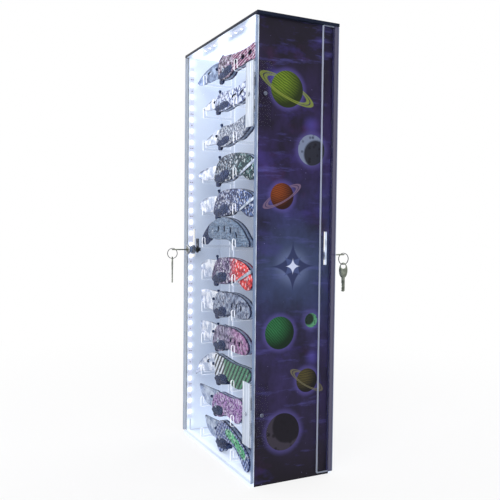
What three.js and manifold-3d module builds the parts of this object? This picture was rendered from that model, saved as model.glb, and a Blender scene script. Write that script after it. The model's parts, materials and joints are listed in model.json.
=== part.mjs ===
// A two-sided knife display case: a tall narrow box of acrylic sheet with an opal divider down its middle,
// a clear swinging door on each face, hook combs that carry the knives, and strips of lamps down the walls.
// Millimetres, +Z up. The origin is the middle of the underside; the front door is on the -Y side.
import * as THREE from "three";
import { mergeVertices } from "three/addons/utils/BufferGeometryUtils.js";
import Module from "manifold-3d";

const wasm = await Module();
wasm.setup();

// Driving sizes of the cabinet
const width = 235.2;
const depth = 113;
const height = 560;
const sheet = 4;
const fitGap = 0.3;
const doorGap = 0.5;
const dividerThickness = 3;
const filmThickness = 0.5;
const flangeReturn = 22.6;
const filletRadius = 1;
const cutOverrun = 2;

// Door hinges: clear butt hinges over the outside corner of door and wall
const leafHeight = 76;
const leafWidth = 22.9;
const leafThickness = 1.6;
const leafSeat = 1.2;
const knuckleCount = 5;
const knuckleRadius = 2.4;
const hingePinRadius = 1.1;
const lowerHingeHeight = 86;
const upperHingeDrop = 94;
const hingeScrewFromAxis = 14;
const hingeScrewHeadRadius = 2.3;
const hingeScrewHeadHeight = 1.3;
const hingeScrewShankRadius = 1.2;
const hingeScrewEndRoom = 0.5;

// Hook combs
const rowCount = 12;
const lowestArm = 7.1;
const roomAboveRows = 45.5;
const armHeight = 4;
const combThickness = 3;
const spineDepth = 6;
const spineAboveArm = 18;
const hookFromDoor = 2;
const lipHeight = 15;
const lipWidth = 4.2;
const lipRootWidth = 4.7;
const bladeHookShare = 0.55;
const handleHookShare = 0.38;

// Lamp strips
const lampPitch = 16.667;
const lampSide = 4;
const lampHeight = 1.4;
const stripThickness = 0.6;
const stripWidth = 6;
const stripFromEdge = 0.4;
const stripBottom = 24;
const roomAboveStrip = 15;
const roomBesideTopStrip = 9;

// Cable inside the case
const wireRadius = 1.1;
const wireFromWall = 3;
const wireRiserTop = 2;
const wireSides = 8;
const wireCorner = 3;
const wireCornerSteps = 4;

// Power socket in the left wall
const socketDepthPlace = 25;
const socketHeightPlace = 22;
const socketRadius = 4;
const socketFlangeRadius = 5.6;
const socketFlangeThickness = 1.6;
const socketLength = 13;
const socketBoreRadius = 2.9;
const socketBoreDepth = 9;
const socketPinRadius = 0.9;
const socketNutRadius = 6.2;
const socketNutThickness = 2.4;
const leadRun = 14;
const notchHeight = 4;

// Cam locks
const lockFromEdge = 20.6;
const lockHeight = 275.5;
const faceRadius = 7;
const faceThickness = 2.5;
const barrelRadius = 4.5;
const barrelInside = 5.6;
const plugRadius = 3;
const plugInside = 8.2;
const postSide = 3.4;
const postLength = 2.4;
const postBoreRadius = 0.9;
const nutAcrossFlats = 11;
const nutThickness = 4.5;
const camThickness = 1.8;
const camTipRoom = 1;
const camHubRadius = 5;
const camTipWidth = 8;
const screwHeadRadius = 2.8;
const screwHeadHeight = 3;
const screwShankRadius = 0.6;
const screwSlotWidth = 0.8;
const slotAboveLock = 29.5;
const slotBelowLock = 11.5;
const slotWidth = 4.6;

// Keys and split rings
const keyThickness = 1.4;
const bowLength = 20.5;
const bowWidth = 11;
const neckLength = 2.5;
const bladeLength = 14.5;
const bladeWidth = 4.4;
const keyHoleRadius = 3.15;
const webWidth = 1.8;
const keywayRoom = 0.3;
const ringRadius = 7.3;
const ringWireRadius = 0.5;
const ringContact = 1.3;
const spareContact = 0.3;
const frontSpareYaw = -25;
const rearSpareYaw = 50;

// Knives
const knifeBehindLip = 0.3;
const knifeBladeThickness = 2.8;
const knifeHandleThickness = 9;
const knifeBolsterThickness = 9.8;
const clipProud = 1.4;
const clipWidth = 4.4;
const studRadius = 2.2;
const studLength = 7;

// Facets
const roundSides = 24;
const smallSides = 12;
const screwSides = 8;
const ringSteps = 24;
const ringWireSides = 6;
const hexSides = 6;
const bowSteps = 22;
const cornerSteps = 2;

const halfWidth = width / 2;
const halfDepth = depth / 2;
const doorFace = halfDepth - sheet;
const filmOuter = halfWidth - sheet;
const wallOuter = filmOuter - filmThickness - fitGap;
const wallInner = wallOuter - sheet + fitGap;
const wallEdge = doorFace - fitGap;
const wallTop = height - sheet - fitGap;
const floorTop = sheet;
const doorBottom = floorTop + doorGap;
const doorTop = height - sheet - doorGap;
const stripInner = wallInner - fitGap;
const flangeInner = filmOuter + fitGap;
const hingeX = flangeInner + leafSeat;
const hingeY = halfDepth + fitGap + leafSeat;
const hingeHeights = { lower: lowerHingeHeight, upper: height - upperHingeDrop };
const lockFromMiddle = halfWidth - lockFromEdge;
const camLength = flangeInner - camTipRoom - lockFromMiddle;
const camNear = doorFace - plugInside - fitGap;
const hookReach = doorFace - hookFromDoor;
const bladeHookX = -wallInner * bladeHookShare;
const handleHookX = wallInner * handleHookShare;
const knifeFromMiddle = hookReach - lipRootWidth - knifeBehindLip - knifeHandleThickness / 2;
const lowestArmTop = lowestArm + armHeight;
const rowPitch = (height - sheet - roomAboveRows - lowestArmTop) / (rowCount - 1);
const armTops = Array.from({ length: rowCount }, (_, row) => lowestArmTop + rowPitch * row).reverse();
const stripFromMiddle = wallEdge - stripFromEdge - stripWidth / 2;
const wallLamps = Math.floor((height - sheet - roomAboveStrip - stripBottom) / lampPitch);
const topLamps = Math.floor((2 * wallInner - 2 * roomBesideTopStrip) / lampPitch);

// A closed surface made a solid, and back
function solid(geometry) {
  const bare = geometry.clone();
  bare.deleteAttribute("normal");
  bare.deleteAttribute("uv");
  const merged = mergeVertices(bare, 1e-4);
  return new wasm.Manifold(
    new wasm.Mesh({
      numProp: 3,
      vertProperties: merged.attributes.position.array,
      triVerts: new Uint32Array(merged.index.array),
    }),
  );
}

function surface(made) {
  const mesh = made.getMesh();
  const geometry = new THREE.BufferGeometry();
  geometry.setAttribute("position", new THREE.BufferAttribute(new Float32Array(mesh.vertProperties), 3));
  geometry.setIndex(new THREE.BufferAttribute(new Uint32Array(mesh.triVerts), 1));
  return geometry;
}

function joined(geometries) {
  return surface(geometries.map(solid).reduce((whole, piece) => whole.add(piece)));
}

function cut(geometry, tools) {
  return surface(tools.map(solid).reduce((whole, tool) => whole.subtract(tool), solid(geometry)));
}

// Basic forms, each placed in the case's frame
function block([x0, x1], [y0, y1], [z0, z1]) {
  const form = new THREE.BoxGeometry(x1 - x0, y1 - y0, z1 - z0);
  return form.translate((x0 + x1) / 2, (y0 + y1) / 2, (z0 + z1) / 2);
}

// A round bar from one end point to the other
function bar(from, to, radius, sides = smallSides) {
  const start = new THREE.Vector3(...from);
  const along = new THREE.Vector3(...to).sub(start);
  const form = new THREE.CylinderGeometry(radius, radius, along.length(), sides);
  const axis = new THREE.Vector3(0, 1, 0);
  const turn = new THREE.Quaternion().setFromUnitVectors(axis, along.clone().normalize());
  const middle = start.addScaledVector(along, 1 / 2);
  return form.applyQuaternion(turn).translate(middle.x, middle.y, middle.z);
}

function outlineShape(points) {
  return new THREE.Shape(points.map(([x, y]) => new THREE.Vector2(x, y)));
}

// A plate whose outline lies in the XZ plane, centred on depth y
function uprightPlate(shape, thickness, y, curveSegments = smallSides) {
  const form = new THREE.ExtrudeGeometry(shape, { depth: thickness, bevelEnabled: false, curveSegments });
  return form.translate(0, 0, -thickness / 2).rotateX(Math.PI / 2).translate(0, y, 0);
}

// A plate whose outline lies in the XY plane, from z0 to z1
function flatPlate(shape, z0, z1, curveSegments = smallSides) {
  const form = new THREE.ExtrudeGeometry(shape, { depth: z1 - z0, bevelEnabled: false, curveSegments });
  return form.translate(0, 0, z0);
}

function finish(color, roughness, metalness = 0, opacity = 1) {
  return new THREE.MeshStandardMaterial({ color, roughness, metalness, opacity, transparent: opacity < 1 });
}

const clearAcrylic = () => finish(0xdfe8f2, 0.05, 0, 0.25);
const opalAcrylic = () => finish(0xe9eef8, 0.35);
const printedFilm = () => finish(0x382a5c, 0.25);
const zincPlate = () => finish(0x8c8e92, 0.35, 1);
const nickelPlate = () => finish(0xa7aaa6, 0.3, 1);
const darkSteel = () => finish(0x3a3d42, 0.4, 1);

const displayCase = new THREE.Group();

function place(group, name, geometry, material) {
  const mesh = new THREE.Mesh(geometry, material);
  mesh.name = name;
  group.add(mesh);
  return mesh;
}

// The base carries the walls; the cap lies over walls and doors alike
function basePanel() {
  return block([-wallOuter, wallOuter], [-halfDepth, halfDepth], [0, floorTop]);
}

function topPanel() {
  return block([-halfWidth, halfWidth], [-halfDepth, halfDepth], [height - sheet, height]);
}

function dividerPanel() {
  const half = dividerThickness / 2;
  const across = [-wallInner + fitGap, wallInner - fitGap];
  const panel = block(across, [-half, half], [floorTop + fitGap, wallTop]);
  const notchX = -stripInner + leadRun;
  const notchSide = wireRadius + fitGap;
  const notchSpan = [notchX - notchSide, notchX + notchSide];
  const notch = block(notchSpan, [-half - cutOverrun, half + cutOverrun], [0, floorTop + notchHeight]);
  return cut(panel, [notch]);
}

// The cam's slot lies across the wall beside the lock, inside the door's clear flange
function camSlot(x0, x1) {
  const middle = -(camNear - camThickness / 2);
  const depthSpan = [middle - slotWidth / 2, middle + slotWidth / 2];
  return block([x0, x1], depthSpan, [lockHeight - slotBelowLock, lockHeight + slotAboveLock]);
}

// The other side's door hangs on this wall, so its hinge screws pass through here
function wallScrewHoles() {
  const y = hingeY - hingeScrewFromAxis;
  const radius = hingeScrewShankRadius + fitGap;
  return Object.values(hingeHeights).map((z) =>
    bar([-halfWidth, y, z], [-wallInner + cutOverrun, y, z], radius, screwSides),
  );
}

function sideWall(socketHole) {
  const wall = block([-wallOuter, -wallInner], [-wallEdge, wallEdge], [floorTop + fitGap, wallTop]);
  const tools = [camSlot(-halfWidth, -wallInner + cutOverrun), ...wallScrewHoles()];
  if (socketHole) tools.push(socketHole);
  return cut(wall, tools);
}

function graphicSheet(socketHole) {
  const film = block([-filmOuter, -filmOuter + filmThickness], [-wallEdge, wallEdge], [fitGap, wallTop]);
  const tools = [camSlot(-halfWidth, -wallInner), ...wallScrewHoles()];
  if (socketHole) tools.push(socketHole);
  return cut(film, tools);
}

// A bent door: a flat face that covers the wall's edge at the hinge side, and a return flange that laps
// the wall at the lock side
function door() {
  const outer = -halfDepth;
  const inner = -doorFace;
  const returnEnd = -halfDepth + flangeReturn;
  const profile = new THREE.Shape();
  profile.moveTo(-halfWidth + filletRadius, outer);
  profile.lineTo(wallOuter, outer);
  profile.lineTo(wallOuter, inner);
  profile.lineTo(-flangeInner, inner);
  profile.lineTo(-flangeInner, returnEnd);
  profile.lineTo(-halfWidth, returnEnd);
  profile.lineTo(-halfWidth, outer + filletRadius);
  const filletX = -halfWidth + filletRadius;
  profile.absarc(filletX, outer + filletRadius, filletRadius, Math.PI, Math.PI * 1.5, false);
  const panel = flatPlate(profile, doorBottom, doorTop, smallSides / 2);
  const screwX = hingeX - hingeScrewFromAxis;
  const screwHoles = Object.values(hingeHeights).map((z) =>
    bar(
      [screwX, outer - cutOverrun, z],
      [screwX, inner + cutOverrun, z],
      hingeScrewShankRadius + fitGap,
      screwSides,
    ),
  );
  const lockHole = bar(
    [-lockFromMiddle, outer - cutOverrun, lockHeight],
    [-lockFromMiddle, inner + cutOverrun, lockHeight],
    barrelRadius + fitGap,
    roundSides,
  );
  return cut(panel, [lockHole, ...screwHoles]);
}

// A hinge leaf lies on the door's face or, mirrored in the corner's diagonal, on the wall's outside.
// `away` runs from the hinge's axis along the leaf, and `inward` from the axis into the case.
function leafPlace(onWall, away, inward) {
  return onWall ? [hingeX - inward, -hingeY + away] : [hingeX - away, -hingeY + inward];
}

function leafBlock(onWall, [away0, away1], z) {
  const [x0, y0] = leafPlace(onWall, away0, leafSeat - leafThickness);
  const [x1, y1] = leafPlace(onWall, away1, leafSeat);
  const span = (a, b) => [Math.min(a, b), Math.max(a, b)];
  return block(span(x0, x1), span(y0, y1), z);
}

function hingeScrew(onWall, z) {
  const face = leafSeat - leafThickness;
  const end = leafSeat + fitGap + sheet - hingeScrewEndRoom;
  const at = (inward) => [...leafPlace(onWall, hingeScrewFromAxis, inward), z];
  return [
    bar(at(face - hingeScrewHeadHeight), at(leafSeat - leafThickness / 2), hingeScrewHeadRadius),
    bar(at(face), at(end), hingeScrewShankRadius, screwSides),
  ];
}

// The wall leaf has the outer and middle knuckles and the pin; the door leaf's knuckles turn on the pin
function hingeLeaf(onWall, middle) {
  const bottom = middle - leafHeight / 2;
  const knuckleHeight = (leafHeight + fitGap) / knuckleCount - fitGap;
  const axisBar = (z0, z1, radius, sides) => bar([hingeX, -hingeY, z0], [hingeX, -hingeY, z1], radius, sides);
  const plateStart = knuckleRadius + fitGap;
  const pieces = [
    leafBlock(onWall, [plateStart, leafWidth], [bottom, bottom + leafHeight]),
    ...hingeScrew(onWall, middle),
  ];
  for (let knuckle = onWall ? 0 : 1; knuckle < knuckleCount; knuckle += 2) {
    const z = bottom + knuckle * (knuckleHeight + fitGap);
    pieces.push(axisBar(z, z + knuckleHeight, knuckleRadius));
    pieces.push(leafBlock(onWall, [0, plateStart + fitGap], [z, z + knuckleHeight]));
  }
  if (onWall) return joined([...pieces, axisBar(bottom, bottom + leafHeight, hingePinRadius, screwSides)]);
  const boreRadius = hingePinRadius + fitGap;
  const bore = axisBar(bottom - cutOverrun, bottom + leafHeight + cutOverrun, boreRadius, screwSides);
  return cut(joined(pieces), [bore]);
}

// One comb: a spine on the divider and a hook at each row, cut from one sheet.
// Its outline is drawn with depth as x, so the front compartment's hooks reach to negative x.
function hookComb(x) {
  const root = -dividerThickness / 2 - fitGap;
  const spineFront = root - spineDepth;
  const tip = -hookReach;
  const lipInner = tip + lipWidth;
  const lipFoot = tip + lipRootWidth;
  const shape = new THREE.Shape();
  const rows = [...armTops].reverse();
  shape.moveTo(root, lowestArm);
  rows.forEach((armTop) => {
    const armBottom = armTop - armHeight;
    const lipTop = armBottom + lipHeight;
    const round = lipWidth / 2;
    shape.lineTo(spineFront, armBottom);
    shape.lineTo(tip + filletRadius, armBottom);
    shape.lineTo(tip, armBottom + filletRadius);
    shape.lineTo(tip, lipTop - round);
    shape.absarc(tip + round, lipTop - round, round, Math.PI, 0, true);
    shape.lineTo(lipInner, armTop + lipWidth);
    shape.lineTo(lipFoot, armTop);
    shape.lineTo(spineFront, armTop);
  });
  const spineTop = rows[rowCount - 1] + spineAboveArm;
  shape.lineTo(spineFront, spineTop);
  shape.lineTo(root, spineTop);
  const form = new THREE.ExtrudeGeometry(shape, {
    depth: combThickness,
    bevelEnabled: false,
    curveSegments: cornerSteps,
  });
  form.translate(0, 0, -combThickness / 2);
  form.applyMatrix4(new THREE.Matrix4().set(0, 0, 1, x, 1, 0, 0, 0, 0, 1, 0, 0, 0, 0, 0, 1));
  return form;
}

// A lamp strip along +Z on a wall whose inner face is at x = wallX, with the lamps towards `facing`
function wallStrip(wallX, facing) {
  const length = wallLamps * lampPitch;
  const backX = wallX + facing * fitGap;
  const boardX = backX + facing * stripThickness;
  const lampX = boardX + facing * lampHeight;
  const across = [-stripFromMiddle - stripWidth / 2, -stripFromMiddle + stripWidth / 2];
  const lampAcross = [-stripFromMiddle - lampSide / 2, -stripFromMiddle + lampSide / 2];
  const span = (a, b) => [Math.min(a, b), Math.max(a, b)];
  const pieces = [block(span(backX, boardX), across, [stripBottom, stripBottom + length])];
  for (let lamp = 0; lamp < wallLamps; lamp += 1) {
    const z = stripBottom + lampPitch * (lamp + 1 / 2);
    pieces.push(block(span(backX, lampX), lampAcross, [z - lampSide / 2, z + lampSide / 2]));
  }
  return joined(pieces);
}

function topStrip() {
  const length = topLamps * lampPitch;
  const back = height - sheet - fitGap;
  const board = back - stripThickness;
  const across = [-stripFromMiddle - stripWidth / 2, -stripFromMiddle + stripWidth / 2];
  const lampAcross = [-stripFromMiddle - lampSide / 2, -stripFromMiddle + lampSide / 2];
  const pieces = [block([-length / 2, length / 2], across, [board, back])];
  for (let lamp = 0; lamp < topLamps; lamp += 1) {
    const x = lampPitch * (lamp + 1 / 2) - length / 2;
    pieces.push(block([x - lampSide / 2, x + lampSide / 2], lampAcross, [board - lampHeight, back]));
  }
  return joined(pieces);
}

// A cable's middle line: straight stretches with rounded corners, sampled only where it bends
class CableLine extends THREE.Curve {
  constructor(corners) {
    super();
    const at = corners.map((corner) => new THREE.Vector3(...corner));
    this.stops = [at[0]];
    for (let i = 1; i < at.length - 1; i += 1) {
      const enter = at[i].clone().add(at[i - 1].clone().sub(at[i]).setLength(wireCorner));
      const leave = at[i].clone().add(at[i + 1].clone().sub(at[i]).setLength(wireCorner));
      this.stops.push(...new THREE.QuadraticBezierCurve3(enter, at[i], leave).getPoints(wireCornerSteps));
    }
    this.stops.push(at[at.length - 1]);
  }

  getPoint(t) {
    const place = t * (this.stops.length - 1);
    const before = Math.min(Math.floor(place), this.stops.length - 2);
    return this.stops[before].clone().lerp(this.stops[before + 1], place - before);
  }

  getPointAt(t) {
    return this.getPoint(t);
  }

  getTangentAt(t) {
    const middle = Math.round(t * (this.stops.length - 1));
    const before = Math.max(middle - 1, 0);
    const after = Math.min(middle + 1, this.stops.length - 1);
    return this.stops[after].clone().sub(this.stops[before]).normalize();
  }
}

function cable(corners) {
  const section = new THREE.Shape();
  section.absarc(0, 0, wireRadius, 0, Math.PI * 2, false);
  const line = new CableLine(corners);
  return new THREE.ExtrudeGeometry(section, {
    extrudePath: line,
    steps: line.stops.length - 1,
    curveSegments: wireSides / 2,
    bevelEnabled: false,
  });
}

const wireFloor = floorTop + fitGap + wireRadius;
const harnessX = stripInner - wireFromWall;
const harnessY = -(dividerThickness / 2 + fitGap + wireRadius);

function ledHarness() {
  const riserY = -stripFromMiddle;
  const riserTop = stripBottom - wireRiserTop;
  return cable([
    [-harnessX, riserY, riserTop],
    [-harnessX, riserY, wireFloor],
    [-harnessX, harnessY, wireFloor],
    [harnessX, harnessY, wireFloor],
    [harnessX, riserY, wireFloor],
    [harnessX, riserY, riserTop],
  ]);
}

// The lock, its axis along Y at the door's free side
const lockX = -lockFromMiddle;
const keyShoulder = halfDepth + faceThickness + 2 * fitGap;

function along(y0, y1, radius, sides = roundSides) {
  return bar([lockX, -y0, lockHeight], [lockX, -y1, lockHeight], radius, sides);
}

function lockHousing() {
  const front = halfDepth + faceThickness + fitGap;
  const back = doorFace - barrelInside;
  const body = joined([along(front, halfDepth + fitGap, faceRadius), along(front, back, barrelRadius)]);
  return cut(body, [along(front + cutOverrun, back - cutOverrun, plugRadius + fitGap)]);
}

function lockPlug() {
  const front = halfDepth + faceThickness + fitGap;
  const back = doorFace - plugInside;
  const post = postSide / 2;
  const keyHalf = bladeWidth / 2 + keywayRoom;
  const keyFlat = keyThickness / 2 + keywayRoom;
  const body = joined([
    along(front, back, plugRadius),
    block(
      [lockX - post, lockX + post],
      [-back - filletRadius, -back + postLength],
      [lockHeight - post, lockHeight + post],
    ),
  ]);
  const keyway = block(
    [lockX - keyHalf, lockX + keyHalf],
    [-front - cutOverrun, -(keyShoulder - bladeLength) + fitGap],
    [lockHeight - keyFlat, lockHeight + keyFlat],
  );
  const bore = along(back - postLength - cutOverrun, back + filletRadius / 2, postBoreRadius, smallSides);
  return cut(body, [keyway, bore]);
}

function lockNut() {
  const front = doorFace - fitGap;
  const hexRadius = nutAcrossFlats / Math.sqrt(3);
  return cut(along(front, front - nutThickness, hexRadius, hexSides), [
    along(front + cutOverrun, front - nutThickness - cutOverrun, barrelRadius + fitGap),
  ]);
}

// The cam points straight up when unlocked
function lockCam() {
  const middle = -(camNear - camThickness / 2);
  const shape = new THREE.Shape();
  const tip = camTipWidth / 2;
  const shoulder = Math.acos(tip / camHubRadius);
  shape.absarc(0, 0, camHubRadius, Math.PI - shoulder, shoulder, false);
  shape.lineTo(tip, camLength);
  shape.lineTo(-tip, camLength);
  const square = postSide / 2 + fitGap;
  const eye = new THREE.Path([
    new THREE.Vector2(-square, -square),
    new THREE.Vector2(-square, square),
    new THREE.Vector2(square, square),
    new THREE.Vector2(square, -square),
  ]);
  shape.holes.push(eye);
  return uprightPlate(shape, camThickness, middle).translate(lockX, 0, lockHeight);
}

function camScrew() {
  const seat = doorFace - plugInside - postLength - fitGap;
  const body = joined([
    along(seat, seat - screwHeadHeight, screwHeadRadius, roundSides),
    along(seat + postLength, seat - screwHeadHeight / 2, screwShankRadius, smallSides),
  ]);
  const half = screwSlotWidth / 2;
  const slot = block(
    [lockX - faceRadius, lockX + faceRadius],
    [-seat + screwHeadHeight - screwSlotWidth, -seat + screwHeadHeight + cutOverrun],
    [lockHeight - half, lockHeight + half],
  );
  return cut(body, [slot]);
}

// A flat key drawn in a plane: x across, y from the blade's end at 0 to the bow's end
const keyLength = bladeLength + neckLength + bowLength;
const holeFromEnd = webWidth + keyHoleRadius;
const biteShares = [
  [0.06, 0.5],
  [0.18, 0.36],
  [0.3, 0.46],
  [0.42, 0.3],
  [0.54, 0.44],
  [0.66, 0.34],
  [0.8, 0.5],
];

function keyShape() {
  const shape = new THREE.Shape();
  const half = bladeWidth / 2;
  const bowStart = bladeLength + neckLength;
  const bowMiddle = bowStart + bowLength / 2;
  const across = bowWidth / 2;
  const lead = bladeWidth / 4;
  const join = Math.asin(half / across);
  shape.moveTo(-half, lead);
  shape.lineTo(-half + lead, 0);
  shape.lineTo(half - lead, 0);
  biteShares.forEach(([share, reach]) => shape.lineTo(bladeWidth * reach, bladeLength * share));
  shape.lineTo(half, bladeLength);
  for (let i = 0; i <= bowSteps; i += 1) {
    const angle = -Math.PI / 2 + join + ((Math.PI * 2 - 2 * join) * i) / bowSteps;
    shape.lineTo(across * Math.cos(angle), bowMiddle + (bowLength / 2) * Math.sin(angle));
  }
  shape.lineTo(-half, bladeLength);
  const hole = new THREE.Path();
  hole.absarc(0, keyLength - holeFromEnd, keyHoleRadius, 0, Math.PI * 2, true);
  shape.holes.push(hole);
  return shape;
}

function keyPlate() {
  const form = new THREE.ExtrudeGeometry(keyShape(), {
    depth: keyThickness,
    bevelEnabled: false,
    curveSegments: smallSides / 2,
  });
  return form.translate(0, 0, -keyThickness / 2);
}

const webY = -(keyShoulder + neckLength + bowLength - webWidth / 2);
const ringCentreZ = lockHeight - (ringRadius - ringWireRadius - ringContact);

// The key in the lock lies flat, its blade inwards
function lockKey() {
  return keyPlate().rotateZ(Math.PI).translate(lockX, -(keyShoulder - bladeLength), lockHeight);
}

function keyRing() {
  const form = new THREE.TorusGeometry(ringRadius, ringWireRadius, ringWireSides, ringSteps);
  return form.rotateY(Math.PI / 2).translate(lockX, webY, ringCentreZ);
}

// The spare key hangs from the ring's lowest point, blade down
function spareKey(yaw) {
  const wireTop = ringCentreZ - ringRadius + ringWireRadius;
  const bowTop = wireTop + spareContact + webWidth;
  const form = keyPlate().rotateX(Math.PI / 2).rotateZ(THREE.MathUtils.degToRad(yaw));
  return form.translate(lockX, webY, bowTop - keyLength);
}

// Power socket: flange outside the left wall, barrel through it, nut inside
function socketBar(x0, x1, radius, sides = roundSides) {
  const place = [socketDepthPlace, socketHeightPlace];
  return bar([x0, ...place], [x1, ...place], radius, sides);
}

const socketHole = socketBar(-halfWidth, -wallInner + cutOverrun, socketRadius + fitGap);
const socketEnd = -filmOuter + socketLength;

function powerSocket() {
  const face = -filmOuter - fitGap - socketFlangeThickness;
  const body = joined([
    socketBar(face, -filmOuter - fitGap, socketFlangeRadius),
    socketBar(face, socketEnd, socketRadius),
  ]);
  const hollow = cut(body, [socketBar(face - cutOverrun, face + socketBoreDepth, socketBoreRadius)]);
  const pin = socketBar(face + socketPinRadius, socketEnd - filletRadius, socketPinRadius, smallSides);
  return joined([hollow, pin]);
}

function socketNut() {
  const start = -wallInner + fitGap;
  return cut(socketBar(start, start + socketNutThickness, socketNutRadius, hexSides), [
    socketBar(start - cutOverrun, start + socketNutThickness + cutOverrun, socketRadius + fitGap),
  ]);
}

function feedLead() {
  const x = -stripInner + leadRun;
  const startX = socketEnd + fitGap;
  return cable([
    [startX, socketDepthPlace, socketHeightPlace],
    [x, socketDepthPlace, socketHeightPlace],
    [x, socketDepthPlace, wireFloor],
    [x, -harnessY + wireRadius + fitGap, wireFloor],
  ]);
}

// Knife outlines, round from the blade's tip or the handle's front. Each point is a share of the piece's
// length along the knife, and a share of its rise above the line of the two hooks that carry it.
const spearBladeShares = [
  [0, 0.36], [0.1, 0.58], [0.3, 0.86], [0.52, 1.02], [0.72, 1.08], [1.06, 1], [1.06, 0],
  [0.6, 0], [0.3, 0.04], [0.1, 0.18],
];
const needleBladeShares = [
  [0, 0.3], [0.2, 0.52], [0.5, 0.85], [0.8, 1.1], [1.06, 1.2], [1.06, 0.1], [0.7, 0],
  [0.35, 0], [0.12, 0.1],
];
const dropBladeShares = [
  [0, 0.55], [0.05, 0.72], [0.25, 0.9], [0.6, 1.04], [1.06, 1.08], [1.06, 0.02], [0.6, 0],
  [0.3, 0.03], [0.1, 0.2], [0.02, 0.38],
];
const tantoBladeShares = [
  [0, 0.3], [0, 1], [0.25, 1.08], [0.6, 1.12], [1.06, 1.1], [1.06, 0.1], [0.7, 0],
  [0.45, 0.02], [0.2, 0.1],
];
const hawkBladeShares = [
  [0, -0.5], [0.1, -0.02], [0.22, 0.38], [0.42, 0.76], [0.66, 1.08], [0.9, 1.3], [1.06, 1.3],
  [1.06, 0.2], [0.84, 0.3], [0.7, 0.16], [0.52, 0.02], [0.36, -0.05], [0.18, -0.26],
];
const bellyBladeShares = [
  [0, 0.86], [0.04, 1], [0.3, 1.05], [0.7, 1.1], [1.06, 1.2], [1.06, 0.1], [0.8, 0],
  [0.55, 0], [0.32, 0.14], [0.12, 0.42],
];
const barHandleShares = [
  [-0.02, 0.4], [0, 1], [0.06, 1.12], [0.2, 1.06], [0.45, 0.94], [0.75, 0.92], [0.96, 1.02],
  [1, 0.8], [1, 0.25], [0.94, 0.06], [0.8, 0.1], [0.64, 0.02], [0.48, 0], [0.38, -0.04],
  [0.33, -0.2], [0.1, -0.26], [0, -0.1],
];
const sweptHandleShares = [
  [-0.03, 0.4], [0, 0.92], [0.1, 1.06], [0.3, 1.04], [0.5, 1.1], [0.72, 1.34], [0.92, 1.5],
  [1, 1.4], [0.98, 0.95], [0.9, 0.55], [0.8, 0.3], [0.68, 0.06], [0.55, 0], [0.45, -0.04],
  [0.36, -0.18], [0.08, -0.22], [0, -0.05],
];
const archedHandleShares = [
  [-0.03, 0.5], [0, 0.92], [0.1, 1.06], [0.3, 1.15], [0.5, 1.17], [0.7, 1.08], [0.86, 0.88],
  [0.97, 0.52], [1, 0.2], [0.96, -0.14], [0.88, -0.28], [0.78, -0.2], [0.68, 0], [0.58, 0.03],
  [0.46, -0.02], [0.4, -0.14], [0.3, -0.2], [0.05, -0.2], [-0.02, 0.05],
];
const steppedHandleShares = [
  [-0.04, 0.7], [0, 1.05], [0.15, 1.2], [0.3, 1.2], [0.5, 1.26], [0.75, 1.16], [0.92, 0.9],
  [1, 0.58], [0.98, 0.24], [0.9, 0.08], [0.75, 0.02], [0.6, 0], [0.42, 0.04], [0.32, -0.06],
  [0.24, -0.22], [0.05, -0.2], [-0.03, 0.1],
];
const fanHandleShares = [
  [-0.02, 0.3], [-0.03, 0.62], [0.1, 0.86], [0.26, 0.99], [0.42, 1], [0.6, 0.92], [0.78, 0.72],
  [0.92, 0.4], [1, 0.08], [0.95, 0.02], [0.86, 0.04], [0.76, 0], [0.64, 0.03], [0.52, 0.2],
  [0.38, 0.24], [0.24, 0.22], [0.1, 0.24],
];
const fanBladeShares = [
  [0, 0.02], [0.04, 0.28], [0.3, 0.6], [0.65, 0.85], [1.1, 1.05], [1.1, 0.35], [0.8, 0.14],
  [0.5, 0], [0.2, 0],
];
const hookedHandleShares = [
  [-0.02, 0.6], [0, 1.24], [0.14, 1.3], [0.34, 1.24], [0.55, 1.2], [0.78, 1.24], [0.97, 1.16],
  [1, 0.9], [0.94, 0.62], [0.84, 0.4], [0.74, 0.1], [0.62, 0], [0.5, 0.02], [0.38, 0.2],
  [0.22, 0.26], [0.1, 0.12], [0.02, 0.02],
];
const bellyHandleShares = [
  [-0.02, 0.6], [0, 1.05], [0.15, 1.16], [0.4, 1.14], [0.7, 1.2], [0.92, 1.32], [1, 1.1],
  [0.98, 0.5], [0.9, 0.14], [0.78, 0], [0.66, 0.04], [0.5, 0.1], [0.38, 0.02], [0.3, -0.16],
  [0.08, -0.2], [0, 0],
];
const archHandleShares = [
  [-0.03, 0.7], [0, 1.16], [0.12, 1.3], [0.3, 1.28], [0.5, 1.16], [0.72, 0.92], [0.9, 0.62],
  [1, 0.3], [0.99, -0.3], [0.93, -0.46], [0.84, -0.3], [0.72, 0.02], [0.58, 0.3], [0.42, 0.36],
  [0.28, 0.1], [0.2, -0.34], [0.1, -0.42], [0, 0.1],
];
const bolsterShares = [
  [-0.03, -0.06], [0.02, 0.14], [0.12, 0.3], [0.24, 0.42], [0.34, 0.4], [0.38, 0.2], [0.34, -0.06],
  [0.22, -0.18], [0.06, -0.24],
];
const tabShares = [
  [0, 0.1], [0.08, 0.1], [0.06, -0.36], [0.02, -0.42], [-0.03, -0.36], [-0.03, -0.1],
];

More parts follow.
